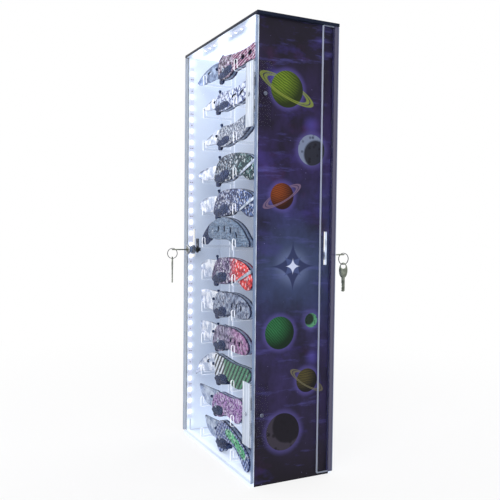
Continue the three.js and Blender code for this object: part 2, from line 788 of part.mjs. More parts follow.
// One knife for each row, top to bottom. The ends are the blade's tip, the pivot end and the butt, as
// shares of half the inside width. The rises of blade and handle are shares of the row pitch, and the
// tilt is in degrees.
const knives = [
  {
    name: "crimson",
    blade: spearBladeShares,
    handle: barHandleShares,
    endShares: [-0.962, -0.174, 0.889],
    riseShares: [0.44, 0.5],
    tilt: 0,
  },
  {
    name: "slate",
    blade: needleBladeShares,
    handle: sweptHandleShares,
    endShares: [-0.77, -0.275, 0.825],
    riseShares: [0.3, 0.42],
    tilt: -4,
  },
  {
    name: "pewter",
    blade: needleBladeShares,
    handle: sweptHandleShares,
    endShares: [-0.733, -0.2, 0.77],
    riseShares: [0.36, 0.46],
    tilt: -2,
  },
  {
    name: "moss",
    blade: dropBladeShares,
    handle: archedHandleShares,
    endShares: [-0.843, -0.275, 0.889],
    riseShares: [0.52, 0.56],
    tilt: 0,
  },
  {
    name: "cobalt",
    blade: dropBladeShares,
    handle: archedHandleShares,
    endShares: [-0.825, -0.293, 0.889],
    riseShares: [0.52, 0.56],
    tilt: 0,
  },
  {
    name: "fan",
    blade: fanBladeShares,
    handle: fanHandleShares,
    endShares: [-0.77, -0.42, 0.724],
    riseShares: [0.68, 0.84],
    tilt: 0,
  },
  {
    name: "scarlet",
    blade: dropBladeShares,
    handle: archedHandleShares,
    endShares: [-0.79, -0.367, 0.825],
    riseShares: [0.5, 0.58],
    tilt: 0,
  },
  {
    name: "steel",
    blade: tantoBladeShares,
    handle: steppedHandleShares,
    endShares: [-0.752, -0.293, 0.77],
    riseShares: [0.46, 0.54],
    tilt: 0,
  },
  {
    name: "mauve",
    blade: tantoBladeShares,
    handle: steppedHandleShares,
    endShares: [-0.752, -0.275, 0.733],
    riseShares: [0.46, 0.54],
    tilt: 0,
  },
  {
    name: "striped",
    blade: hawkBladeShares,
    handle: hookedHandleShares,
    endShares: [-0.953, -0.2, 0.807],
    riseShares: [0.56, 0.56],
    tilt: 0,
  },
  {
    name: "magenta",
    blade: bellyBladeShares,
    handle: bellyHandleShares,
    endShares: [-0.825, -0.312, 0.605],
    riseShares: [0.54, 0.56],
    tilt: 0,
  },
  {
    name: "net",
    blade: bellyBladeShares,
    handle: archHandleShares,
    endShares: [-0.605, -0.22, 0.77],
    riseShares: [0.5, 0.56],
    tilt: 0,
  },
];
const plainKnives = ["fan"];
const clippedKnives = ["moss", "cobalt", "scarlet"];
const clipSpanShares = [0.62, 0.97];
const clipRiseShare = 0.62;
const studPlaceShare = 0.86;
const studRiseShare = 0.66;

function rounded(points) {
  const corners = points.map(([x, y]) => new THREE.Vector3(x, y, 0));
  const curve = new THREE.CatmullRomCurve3(corners, true);
  return curve
    .getPoints(points.length * cornerSteps)
    .slice(0, -1)
    .map((point) => [point.x, point.y]);
}

// The lowest height of an outline over the thickness of the hook at x
function lowestOver(outline, x) {
  const edges = outline.map((point, i) => [point, outline[(i + 1) % outline.length]]);
  const sides = [-combThickness / 2, 0, combThickness / 2].map((offset) => x + offset);
  const heights = sides.flatMap((side) =>
    edges
      .filter(([a, b]) => a[0] <= side !== b[0] <= side)
      .map(([a, b]) => a[1] + ((b[1] - a[1]) * (side - a[0])) / (b[0] - a[0])),
  );
  return Math.min(...heights, Infinity);
}

// One knife, open and edge down, resting on its two hooks or, in the lowest row, clear of the floor
function knifeSolid({ name, blade, handle, endShares, riseShares, tilt }, armTop) {
  const [tip, pivot, butt] = endShares.map((share) => wallInner * share);
  const [bladeRise, handleRise] = riseShares.map((share) => rowPitch * share);
  const turn = THREE.MathUtils.degToRad(tilt);
  const at = (from, to, rise) => ([along, up]) => {
    const x = from + (to - from) * along;
    const z = rise * up;
    return [x * Math.cos(turn) - z * Math.sin(turn), x * Math.sin(turn) + z * Math.cos(turn)];
  };
  const onBlade = at(tip, pivot, bladeRise);
  const onHandle = at(pivot, butt, handleRise);
  const parts = [
    [blade.map(onBlade), knifeBladeThickness],
    [rounded(handle).map(onHandle), knifeHandleThickness],
  ];
  if (!plainKnives.includes(name)) {
    parts.push([bolsterShares.map(onHandle), knifeBolsterThickness]);
    parts.push([tabShares.map(onHandle), knifeBladeThickness]);
  }
  const onHook = (x) => armTop - Math.min(...parts.map(([outline]) => lowestOver(outline, x)));
  const onFloor = floorTop - Math.min(...parts.flatMap(([outline]) => outline.map(([, z]) => z)));
  const lift = Math.max(onHook(bladeHookX), onHook(handleHookX), onFloor) + fitGap;
  const y = -knifeFromMiddle;
  const pieces = parts.map(([outline, thickness]) => uprightPlate(outlineShape(outline), thickness, y));
  if (clippedKnives.includes(name)) {
    const face = y - knifeHandleThickness / 2;
    const [[x0, z0], [x1]] = clipSpanShares.map((share) => onHandle([share, clipRiseShare]));
    pieces.push(block([x0, x1], [face - clipProud, y], [z0 - clipWidth / 2, z0 + clipWidth / 2]));
  } else if (!plainKnives.includes(name)) {
    const [x, z] = onBlade([studPlaceShare, studRiseShare]);
    pieces.push(bar([x, y - studLength / 2, z], [x, y + studLength / 2, z], studRadius));
  }
  return joined(pieces).translate(0, 0, lift);
}

// Each side of the case, drawn as the front one; the rear one is the same turned half round
function addSide(group, end, wall, spareYaw, hasSocket) {
  const hole = hasSocket ? socketHole : null;
  place(group, wall + "_side_wall", sideWall(hole), opalAcrylic());
  place(group, wall + "_graphic_sheet", graphicSheet(hole), printedFilm());
  place(group, end + "_door", door(), clearAcrylic());
  Object.entries(hingeHeights).forEach(([level, middle]) => {
    place(group, end + "_" + level + "_hinge_door_leaf", hingeLeaf(false, middle), clearAcrylic());
    place(group, end + "_" + level + "_hinge_wall_leaf", hingeLeaf(true, middle), clearAcrylic());
  });
  place(group, end + "_blade_hook_comb", hookComb(bladeHookX), clearAcrylic());
  place(group, end + "_handle_hook_comb", hookComb(handleHookX), clearAcrylic());
  place(group, end + "_lock_side_lamp_strip", wallStrip(-wallInner, 1), finish(0xf4f6ff, 0.5));
  place(group, end + "_hinge_side_lamp_strip", wallStrip(wallInner, -1), finish(0xf4f6ff, 0.5));
  place(group, end + "_top_lamp_strip", topStrip(), finish(0xf4f6ff, 0.5));
  place(group, end + "_lamp_cable", ledHarness(), finish(0xe4e4e4, 0.5));
  place(group, end + "_lock_housing", lockHousing(), zincPlate());
  place(group, end + "_lock_plug", lockPlug(), nickelPlate());
  place(group, end + "_lock_nut", lockNut(), zincPlate());
  place(group, end + "_lock_cam", lockCam(), darkSteel());
  place(group, end + "_cam_screw", camScrew(), darkSteel());
  place(group, end + "_lock_key", lockKey(), nickelPlate());
  place(group, end + "_key_ring", keyRing(), darkSteel());
  place(group, end + "_spare_key", spareKey(spareYaw), nickelPlate());
}

const frontSide = new THREE.Group();
addSide(frontSide, "front", "left", frontSpareYaw, true);
const rearSide = new THREE.Group();
rearSide.rotation.z = Math.PI;
addSide(rearSide, "rear", "right", rearSpareYaw, false);
displayCase.add(frontSide, rearSide);

const knifeColours = [
  0x5b1f38, 0x5d6d86, 0x6f7784, 0x1f3a34, 0x2b3d6b, 0x4c6670,
  0xa51f2c, 0x5a6478, 0x7a5a78, 0x2c6a4a, 0x9a3f86, 0x1f5c46,
];
knives.forEach((knife, row) => {
  const number = String(row + 1).padStart(2, "0");
  const material = finish(knifeColours[row], 0.4, 0.3);
  place(frontSide, "front_knife_" + number + "_" + knife.name, knifeSolid(knife, armTops[row]), material);
});

place(displayCase, "base_panel", basePanel(), opalAcrylic());
place(displayCase, "top_panel", topPanel(), opalAcrylic());
place(displayCase, "divider_panel", dividerPanel(), opalAcrylic());
place(displayCase, "power_socket", powerSocket(), finish(0x202124, 0.4));
place(displayCase, "power_socket_nut", socketNut(), nickelPlate());
place(displayCase, "feed_lead", feedLead(), finish(0xe4e4e4, 0.5));

export default displayCase;
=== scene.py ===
# A two-sided, lit knife display case of acrylic sheet: its finishes, its lamps, its locks and its knives.
# Places and sizes are in millimetres where a name ends in _MM, and otherwise in metres.
import json
import math
import bpy
import bmesh
from mathutils import Matrix, Vector

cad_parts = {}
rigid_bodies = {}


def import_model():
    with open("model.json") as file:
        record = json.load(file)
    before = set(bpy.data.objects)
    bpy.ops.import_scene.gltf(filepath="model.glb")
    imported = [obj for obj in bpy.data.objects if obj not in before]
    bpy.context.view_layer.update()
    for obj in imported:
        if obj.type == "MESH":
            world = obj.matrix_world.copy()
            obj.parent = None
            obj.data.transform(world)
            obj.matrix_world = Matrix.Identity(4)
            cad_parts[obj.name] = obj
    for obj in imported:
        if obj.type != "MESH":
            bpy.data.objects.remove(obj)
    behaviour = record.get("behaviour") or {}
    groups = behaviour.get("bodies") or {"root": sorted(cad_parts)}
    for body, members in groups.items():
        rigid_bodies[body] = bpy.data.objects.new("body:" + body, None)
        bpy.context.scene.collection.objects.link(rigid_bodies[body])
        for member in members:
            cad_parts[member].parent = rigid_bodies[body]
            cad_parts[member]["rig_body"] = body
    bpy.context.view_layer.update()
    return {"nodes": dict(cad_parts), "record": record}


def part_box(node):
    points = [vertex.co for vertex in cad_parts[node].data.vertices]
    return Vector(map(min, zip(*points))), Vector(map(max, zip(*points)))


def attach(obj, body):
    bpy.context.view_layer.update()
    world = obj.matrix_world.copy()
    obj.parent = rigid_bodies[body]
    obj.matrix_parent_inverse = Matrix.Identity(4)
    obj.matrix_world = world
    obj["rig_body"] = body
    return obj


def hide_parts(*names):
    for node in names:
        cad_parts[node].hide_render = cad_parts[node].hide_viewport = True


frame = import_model()
nodes = frame["nodes"]
SLOTS = {part["node"]: part["material_slot"] for part in frame["record"]["subparts"]}
MM = 0.001
ENDS = ("front", "rear")


# Camera, at the place from which the case shows its front edge-on and its right side broad
CAMERA_PLACE = (0.795, -0.398, 0.313)
CAMERA_YAW = math.radians(63.68)
CAMERA_DIP = math.radians(2.25)
CAMERA_ROLL = math.radians(0.63)
CAMERA_LENS_MM = 46.9
CAMERA_SENSOR_MM = 36.0
CAMERA_NEAREST = 0.01


def set_camera():
    """The camera of the main picture."""
    data = bpy.data.cameras.new("camera")
    data.lens = CAMERA_LENS_MM
    data.sensor_width = CAMERA_SENSOR_MM
    data.clip_start = CAMERA_NEAREST
    camera = bpy.data.objects.new("camera", data)
    bpy.context.scene.collection.objects.link(camera)
    turn = Matrix.Rotation(CAMERA_YAW, 4, "Z") @ Matrix.Rotation(math.pi / 2 - CAMERA_DIP, 4, "X")
    camera.matrix_world = Matrix.Translation(CAMERA_PLACE) @ turn @ Matrix.Rotation(CAMERA_ROLL, 4, "Z")
    bpy.context.scene.camera = camera


set_camera()


# Shader building
def linear(hex_colour):
    """An sRGB hex colour as linear RGBA."""
    channels = [int(hex_colour[i : i + 2], 16) / 255 for i in (0, 2, 4)]
    return [c / 12.92 if c <= 0.04045 else ((c + 0.055) / 1.055) ** 2.4 for c in channels] + [1.0]


def per(length_mm):
    """A texture's scale at which its cells are length_mm wide."""
    return 1 / (length_mm * MM)


def bands(period_mm):
    """A wave texture's scale at which its bands lie period_mm apart."""
    return math.pi / 10 * per(period_mm)


def add(tree, kind, inputs=(), **settings):
    """Adds a shader node with its settings. Its inputs, by name or in order, are values, sockets or nodes."""
    node = tree.nodes.new("ShaderNode" + kind)
    for name, value in settings.items():
        setattr(node, name, value)
    sockets = [socket for socket in node.inputs if socket.enabled]
    by_name = {socket.name: socket for socket in reversed(sockets)}
    for key, value in inputs.items() if isinstance(inputs, dict) else enumerate(inputs):
        socket = by_name[key] if isinstance(key, str) else sockets[key]
        if isinstance(value, bpy.types.Node):
            value = next(output for output in value.outputs if output.enabled)
        if isinstance(value, bpy.types.NodeSocket):
            tree.links.new(value, socket)
        else:
            socket.default_value = value
    return node


def new_material(name):
    """An empty node material and its tree."""
    material = bpy.data.materials.new(name)
    material.use_nodes = True
    material.node_tree.nodes.clear()
    return material, material.node_tree


def folded(tree, vector):
    """A vector's X, Y and Z without their signs, so that all corners of the case read alike."""
    plain = add(tree, "VectorMath", (vector,), operation="ABSOLUTE")
    return add(tree, "SeparateXYZ", (plain,)).outputs


def front_x(tree, axes):
    """X as it runs on the front face, also on the rear face, which is turned half round."""
    behind = add(tree, "Math", (axes["Y"],), operation="SIGN")
    front = add(tree, "Math", (behind, -1.0), operation="MULTIPLY")
    return add(tree, "Math", (axes["X"], front), operation="MULTIPLY")


# The lamps' places, which the painted glow on the walls and tapes follows
LAMP_PITCH_MM = 16.667
LAMP_SIDE_MM = 4.0
WALL_POOL_MM = 10.0
TAPE_POOL_MM = 5.8
strip_low, strip_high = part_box("front_lock_side_lamp_strip")
LAMP_Y = abs(strip_low.y + strip_high.y) / 2
LAMP_FIRST_Z = strip_low.z + LAMP_PITCH_MM * MM / 2
LAMP_COUNT = round((strip_high.z - strip_low.z) / (LAMP_PITCH_MM * MM))
CASE_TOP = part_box("top_panel")[1].z
WALL_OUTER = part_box("front_door")[1].x
GLOW_UNDER_CAP = (CASE_TOP - 0.19, CASE_TOP - 0.02)
GLOW_OVER_FLOOR = (0.10, 0.0)


def lamp_pools(tree, at, reach_mm):
    """Round pools of light about each lamp of a wall tape, 1 at the lamp and 0 out of reach."""
    axes = add(tree, "SeparateXYZ", (at,)).outputs
    run = add(tree, "Math", (axes["Z"], LAMP_FIRST_Z), operation="SUBTRACT")
    run = add(tree, "Math", (run, LAMP_PITCH_MM * MM / 2), operation="PINGPONG")
    across = add(tree, "Math", (axes["Y"],), operation="ABSOLUTE")
    across = add(tree, "Math", (across, LAMP_Y), operation="SUBTRACT")
    far = add(tree, "VectorMath", (add(tree, "CombineXYZ", (run, across)),), operation="LENGTH")
    return add(tree, "MapRange", (far, 0.0, reach_mm * MM, 1.0, 0.0), interpolation_type="SMOOTHSTEP")


def opal_acrylic():
    """Opal cast acrylic sheet, flame polished: a soft blue white with the lamps' light painted on as a glow.
    """
    material, tree = new_material("opal_cast_acrylic")
    at = add(tree, "TexCoord").outputs["Object"]
    height = add(tree, "SeparateXYZ", (at,)).outputs["Z"]
    cloud = add(tree, "TexNoise", {"Vector": at, "Scale": per(60), "Detail": 2.0})
    colour = add(tree, "Mix", (cloud, linear("bac6da"), linear("c9d4e5")), data_type="RGBA")
    # Painted light: an emitted glow under the cap, over the floor and in a pool about each lamp.
    top = add(tree, "MapRange", (height, *GLOW_UNDER_CAP, 0.14, 0.42))
    foot = add(tree, "MapRange", (height, *GLOW_OVER_FLOOR, 0.0, 0.34))
    pools = add(tree, "Math", (lamp_pools(tree, at, WALL_POOL_MM), 0.45), operation="MULTIPLY")
    lit = add(tree, "Math", (top, foot), operation="ADD")
    lit = add(tree, "Math", (lit, pools), operation="ADD")
    ripple = add(tree, "TexNoise", {"Vector": at, "Scale": per(9), "Detail": 2.0})
    look = {"Base Color": colour, "Roughness": 0.25, "IOR": 1.49, "Specular IOR Level": 0.3}
    look["Emission Color"] = linear("dee6f2")
    look["Emission Strength"] = lit
    look["Normal"] = add(tree, "Bump", {"Height": ripple, "Strength": 1.0, "Distance": 0.02 * MM})
    add(tree, "OutputMaterial", {"Surface": add(tree, "BsdfPrincipled", look)})
    return material


# The rear door's bend and flange; without their signs, its places hold for the front door too
FLANGE_START = WALL_OUTER + 0.5 * MM
FLANGE_REACH = 36 * MM
BEND_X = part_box("rear_door")[1].x
BEND_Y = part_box("rear_door")[1].y
BEND_REACH = 2.2 * MM
TIP_REACH = (BEND_Y - 2 * MM, BEND_Y - 0.5 * MM)
PRINT_SEEN_TO = BEND_Y - 8.5 * MM
PRINT_FADE = 1.5 * MM


def clear_acrylic():
    """Clear cast acrylic, edges polished: the faces almost vanish, and the edges and bend are painted with
    the light that they carry.

    Past the wall's edge the flange is painted with the print's dark violet on its outer side and with the
    lamps' light on its inner side, where the acrylic bends the light round.
    """
    material, tree = new_material("clear_cast_acrylic")
    coordinates = add(tree, "TexCoord").outputs
    place, normal = coordinates["Object"], coordinates["Normal"]
    at, facing = folded(tree, place), folded(tree, normal)
    outward = add(tree, "VectorMath", (place, normal), operation="MULTIPLY")
    outward = add(tree, "SeparateXYZ", (outward,)).outputs["X"]
    outward = add(tree, "MapRange", (outward, -10 * MM, 10 * MM))
    flange = add(tree, "Math", (at["X"], FLANGE_START), operation="GREATER_THAN")
    panel = add(tree, "Math", (1.0, flange), operation="SUBTRACT")
    hinge_end = add(tree, "Math", (facing["X"], panel), operation="MULTIPLY")
    flange_end = add(tree, "Math", (at["Y"], FLANGE_REACH), operation="LESS_THAN")
    flange_end = add(tree, "Math", (facing["Y"], flange_end), operation="MULTIPLY")
    lit_edge = add(tree, "Math", (flange_end, facing["Z"]), operation="MAXIMUM")
    lit_edge = add(tree, "Math", (lit_edge, flange), operation="MULTIPLY")
    lit_edge = add(tree, "MapRange", (lit_edge, 0.3, 0.8))
    level = add(tree, "MapRange", (facing["Z"], 0.3, 0.8, 0.0, 0.12))
    past_x = add(tree, "MapRange", (at["X"], BEND_X - BEND_REACH, BEND_X - 0.2 * BEND_REACH))
    past_y = add(tree, "MapRange", (at["Y"], BEND_Y - BEND_REACH, BEND_Y - 0.2 * BEND_REACH))
    bend = add(tree, "Math", (past_x, past_y), operation="MULTIPLY")
    past_print = add(tree, "MapRange", (at["Y"], PRINT_SEEN_TO, PRINT_SEEN_TO + PRINT_FADE))
    past_print = add(tree, "Math", (past_print, flange), operation="MULTIPLY")
    solid = add(tree, "Math", (add(tree, "MapRange", (hinge_end, 0.3, 0.8)), level), operation="MAXIMUM")
    wisps = add(tree, "TexNoise", {"Vector": place, "Scale": per(35), "Detail": 2.0})
    # The edges' own blue tint, lightened with painted light that the edges carry.
    tint = add(tree, "Mix", (wisps, linear("5f7699"), linear("8499bd")), data_type="RGBA")
    # Over the print the flange is painted: the print's dark violet outside, and painted lamp light inside.
    night = linear("2a2550")
    seen = add(tree, "Mix", (outward, linear("c4daf2"), night), data_type="RGBA")
    # Painted light at the bend, paler towards the flange's tip.
    tip = add(tree, "MapRange", (at["Y"], *TIP_REACH))
    tip = add(tree, "Mix", (tip, night, linear("c4d0e8")), data_type="RGBA")
    corner = add(tree, "Mix", (outward, tint, tip), data_type="RGBA")
    edge_tint_and_light = add(tree, "MapRange", (solid, 0.0, 0.25))
    colour = add(tree, "Mix", (edge_tint_and_light, linear("0c0e12"), tint), data_type="RGBA")
    colour = add(tree, "Mix", (past_print, colour, seen), data_type="RGBA")
    colour = add(tree, "Mix", (bend, colour, corner), data_type="RGBA")
    # Painted edge light on the flange's end and on its top and bottom faces.
    colour = add(tree, "Mix", (lit_edge, colour, linear("ccd6ec")), data_type="RGBA")
    dense = add(tree, "Math", (solid, bend), operation="MAXIMUM")
    dense = add(tree, "Math", (dense, lit_edge), operation="MAXIMUM")
    veil = add(tree, "MapRange", (outward, 0.0, 1.0, 0.95, 1.15))
    veil = add(tree, "Math", (past_print, veil), operation="MULTIPLY")
    dense = add(tree, "Math", (dense, veil), operation="MAXIMUM")
    rim = add(tree, "Math", (add(tree, "Fresnel", {"IOR": 1.35}), 0.05), operation="MULTIPLY")
    look = {"Base Color": colour, "Roughness": 0.05, "IOR": 1.49}
    look["Alpha"] = add(tree, "Math", (dense, 0.82, rim), operation="MULTIPLY_ADD")
    add(tree, "OutputMaterial", {"Surface": add(tree, "BsdfPrincipled", look)})
    return material


def comb_acrylic():
    """Clear acrylic cut by laser: thin hooks whose cut edges are painted white and glowing, for the lamps'
    light in them.
    """
    material, tree = new_material("laser_cut_clear_acrylic")
    coordinates = add(tree, "TexCoord").outputs
    across = add(tree, "SeparateXYZ", (coordinates["Normal"],)).outputs["X"]
    across = add(tree, "Math", (across,), operation="ABSOLUTE")
    edge = add(tree, "MapRange", (across, 0.9, 0.3))
    striae = add(tree, "Mapping", {"Vector": coordinates["Object"], "Scale": (per(9), per(1.2), per(1.2))})
    striae = add(tree, "TexNoise", {"Vector": striae, "Scale": 1.0, "Detail": 1.0})
    glow = add(tree, "Math", (striae, 0.45, 0.30), operation="MULTIPLY_ADD")
    # Painted light: the cut edges are pale and glow, in streaks along the laser's striae.
    look = {"Base Color": add(tree, "Mix", (edge, linear("39404c"), linear("f1f4fc")), data_type="RGBA")}
    look["Roughness"] = 0.06
    look["IOR"] = 1.49
    look["Alpha"] = add(tree, "MapRange", (edge, 0.0, 1.0, 0.04, 0.72))
    look["Emission Color"] = linear("eef3ff")
    look["Emission Strength"] = add(tree, "Math", (edge, glow), operation="MULTIPLY")
    add(tree, "OutputMaterial", {"Surface": add(tree, "BsdfPrincipled", look)})
    return material


def hinge_polycarbonate():
    """Clear polycarbonate, injection moulded, with flow lines up the leaf: where the lit compartment lies
    behind it, painted milky light in streaks along them.
    """
    material, tree = new_material("moulded_polycarbonate")
    at = add(tree, "TexCoord").outputs["Object"]
    drawn = add(tree, "Mapping", {"Vector": at, "Scale": (per(1.8), per(1.8), per(60))})
    flow = add(tree, "TexNoise", {"Vector": drawn, "Scale": 1.0, "Detail": 2.0})
    streak = add(tree, "MapRange", (flow, 0.36, 0.66))
    across = add(tree, "Math", (add(tree, "SeparateXYZ", (at,)).outputs["X"],), operation="ABSOLUTE")
    lit = add(tree, "MapRange", (across, WALL_OUTER + 0.2 * MM, WALL_OUTER - 0.4 * MM))
    # Painted light: over the lit compartment the leaf is pale in streaks, for the light behind it; over the
    # wall it stays dark and clear.
    painted_backlight = add(tree, "Mix", (streak, linear("c4d1e6"), linear("e8f0fb")), data_type="RGBA")
    look = {"Base Color": add(tree, "Mix", (lit, linear("14161d"), painted_backlight), data_type="RGBA")}
    look["Roughness"] = add(tree, "MapRange", (flow, 0.3, 0.7, 0.14, 0.3))
    look["IOR"] = 1.58
    dense = add(tree, "MapRange", (streak, 0.0, 1.0, 0.66, 0.90))
    look["Alpha"] = add(tree, "MapRange", (lit, 0.0, 1.0, 0.035, dense))
    look["Normal"] = add(tree, "Bump", {"Height": flow, "Strength": lit, "Distance": 0.1 * MM})
    add(tree, "OutputMaterial", {"Surface": add(tree, "BsdfPrincipled", look)})
    return material


def plated_metal(name, light, dark, roughness, grain_mm=0.6, drawn=1.0):
    """A plated metal with faint wear: darker and duller in blots, with scratches drawn out along X."""
    material, tree = new_material(name)
    at = add(tree, "TexCoord").outputs["Object"]
    blots = add(tree, "TexNoise", {"Vector": at, "Scale": per(5), "Detail": 3.0})
    cells = (per(grain_mm * drawn), per(grain_mm), per(grain_mm))
    along = add(tree, "Mapping", {"Vector": at, "Scale": cells})
    scratches = add(tree, "TexNoise", {"Vector": along, "Scale": 1.0, "Detail": 2.0})
    worn = add(tree, "MapRange", (blots, 0.35, 0.7))
    look = {"Base Color": add(tree, "Mix", (worn, linear(light), linear(dark)), data_type="RGBA")}
    look["Metallic"] = 1.0
    look["Roughness"] = add(tree, "MapRange", (scratches, 0.3, 0.7, roughness * 0.75, roughness * 1.3))
    look["Normal"] = add(tree, "Bump", {"Height": scratches, "Strength": 1.0, "Distance": 0.02 * MM})
    add(tree, "OutputMaterial", {"Surface": add(tree, "BsdfPrincipled", look)})
    return material


def moulded(name, light, dark, roughness, grain_mm=0.8):
    """A moulded plastic skin with a fine spark-eroded grain."""
    material, tree = new_material(name)
    at = add(tree, "TexCoord").outputs["Object"]
    blots = add(tree, "TexNoise", {"Vector": at, "Scale": per(12), "Detail": 2.0})
    grain = add(tree, "TexNoise", {"Vector": at, "Scale": per(grain_mm), "Detail": 2.0})
    look = {"Base Color": add(tree, "Mix", (blots, linear(light), linear(dark)), data_type="RGBA")}
    look["Roughness"] = roughness
    look["IOR"] = 1.5
    look["Normal"] = add(tree, "Bump", {"Height": grain, "Strength": 1.0, "Distance": 0.03 * MM})
    add(tree, "OutputMaterial", {"Surface": add(tree, "BsdfPrincipled", look)})
    return material


SHADE_PITCH_MM = 90.0
SHADE_START_MM = 42.0
SHADE_DEPTH_MM = 46.0
SHADE_LEAN = 2.4
SHADE_EDGE_MM = (38.0, 14.0)
SHADE_NEAR_DOOR_MM = (31.0, 40.0)


def ceiling_shade(tree, at):
    """The slanted shadows along the door side of the ceiling, between its broad glows: 1 in the dark."""
    axes = add(tree, "SeparateXYZ", (at,)).outputs
    depth = add(tree, "Math", (axes["Y"],), operation="ABSOLUTE")
    lean = add(tree, "Math", (SHADE_DEPTH_MM * MM, depth), operation="SUBTRACT")
    run = add(tree, "Math", (lean, SHADE_LEAN, front_x(tree, axes)), operation="MULTIPLY_ADD")
    run = add(tree, "Math", (run, SHADE_START_MM * MM), operation="SUBTRACT")
    run = add(tree, "Math", (run, SHADE_PITCH_MM / 2 * MM), operation="PINGPONG")
    edge = [place * MM for place in SHADE_EDGE_MM]
    shade = add(tree, "MapRange", (run, *edge), interpolation_type="SMOOTHSTEP")
    near = [place * MM for place in SHADE_NEAR_DOOR_MM]
    near_door = add(tree, "MapRange", (depth, *near), interpolation_type="SMOOTHSTEP")
    return add(tree, "Math", (shade, near_door), operation="MULTIPLY")


def tape_board(name, on_wall):
    """White solder mask on the lamp tape: a round pool about each lamp, or on the ceiling one broad glow."""
    material, tree = new_material(name)
    at = add(tree, "TexCoord").outputs["Object"]
    if on_wall:
        lit = add(tree, "Math", (lamp_pools(tree, at, TAPE_POOL_MM), 1.4, 0.22), operation="MULTIPLY_ADD")
    else:
        lit = add(tree, "MapRange", (ceiling_shade(tree, at), 0.0, 1.0, 0.95, 0.36))
    weave = add(tree, "TexNoise", {"Vector": at, "Scale": per(0.7), "Detail": 1.0})
    look = {"Base Color": linear("c9cee4"), "Roughness": 0.4, "IOR": 1.5, "Specular IOR Level": 0.3}
    # Painted light: the board glows, in a pool about each lamp on the walls, and under the cap it glows
    # dimmer in the painted shadows.
    look["Emission Color"] = linear("e9eeff")
    look["Emission Strength"] = lit
    look["Normal"] = add(tree, "Bump", {"Height": weave, "Strength": 1.0, "Distance": 0.01 * MM})
    add(tree, "OutputMaterial", {"Surface": add(tree, "BsdfPrincipled", look)})
    return material


def lamp_lens():
    """Phosphor under silicone gel: a cool white lamp face with a faint swirl in the gel."""
    material, tree = new_material("lit_phosphor_gel")
    at = add(tree, "TexCoord").outputs["Object"]
    swirl = add(tree, "TexNoise", {"Vector": at, "Scale": per(1.2), "Detail": 2.0})
    look = {"Base Color": linear("fdf9e6"), "Roughness": 0.3, "IOR": 1.41, "Emission Color": linear("f3f6ff")}
    look["Emission Strength"] = add(tree, "MapRange", (swirl, 0.3, 0.7, 5.0, 8.0))
    add(tree, "OutputMaterial", {"Surface": add(tree, "BsdfPrincipled", look)})
    return material


# The printed side sheets: a night sky in violet and blue with moons and ringed planets
SKY_STOPS = (
    (0.000, "15101c"), (0.045, "221b30"), (0.100, "2e264a"), (0.190, "3a3060"), (0.300, "3c3668"),
    (0.400, "38406a"), (0.490, "3b4468"), (0.570, "3c3f70"), (0.680, "3c3068"), (0.800, "352a58"),
    (0.900, "2a2240"), (1.000, "1d1a2a"),
)
STAR_POWER = 0.55


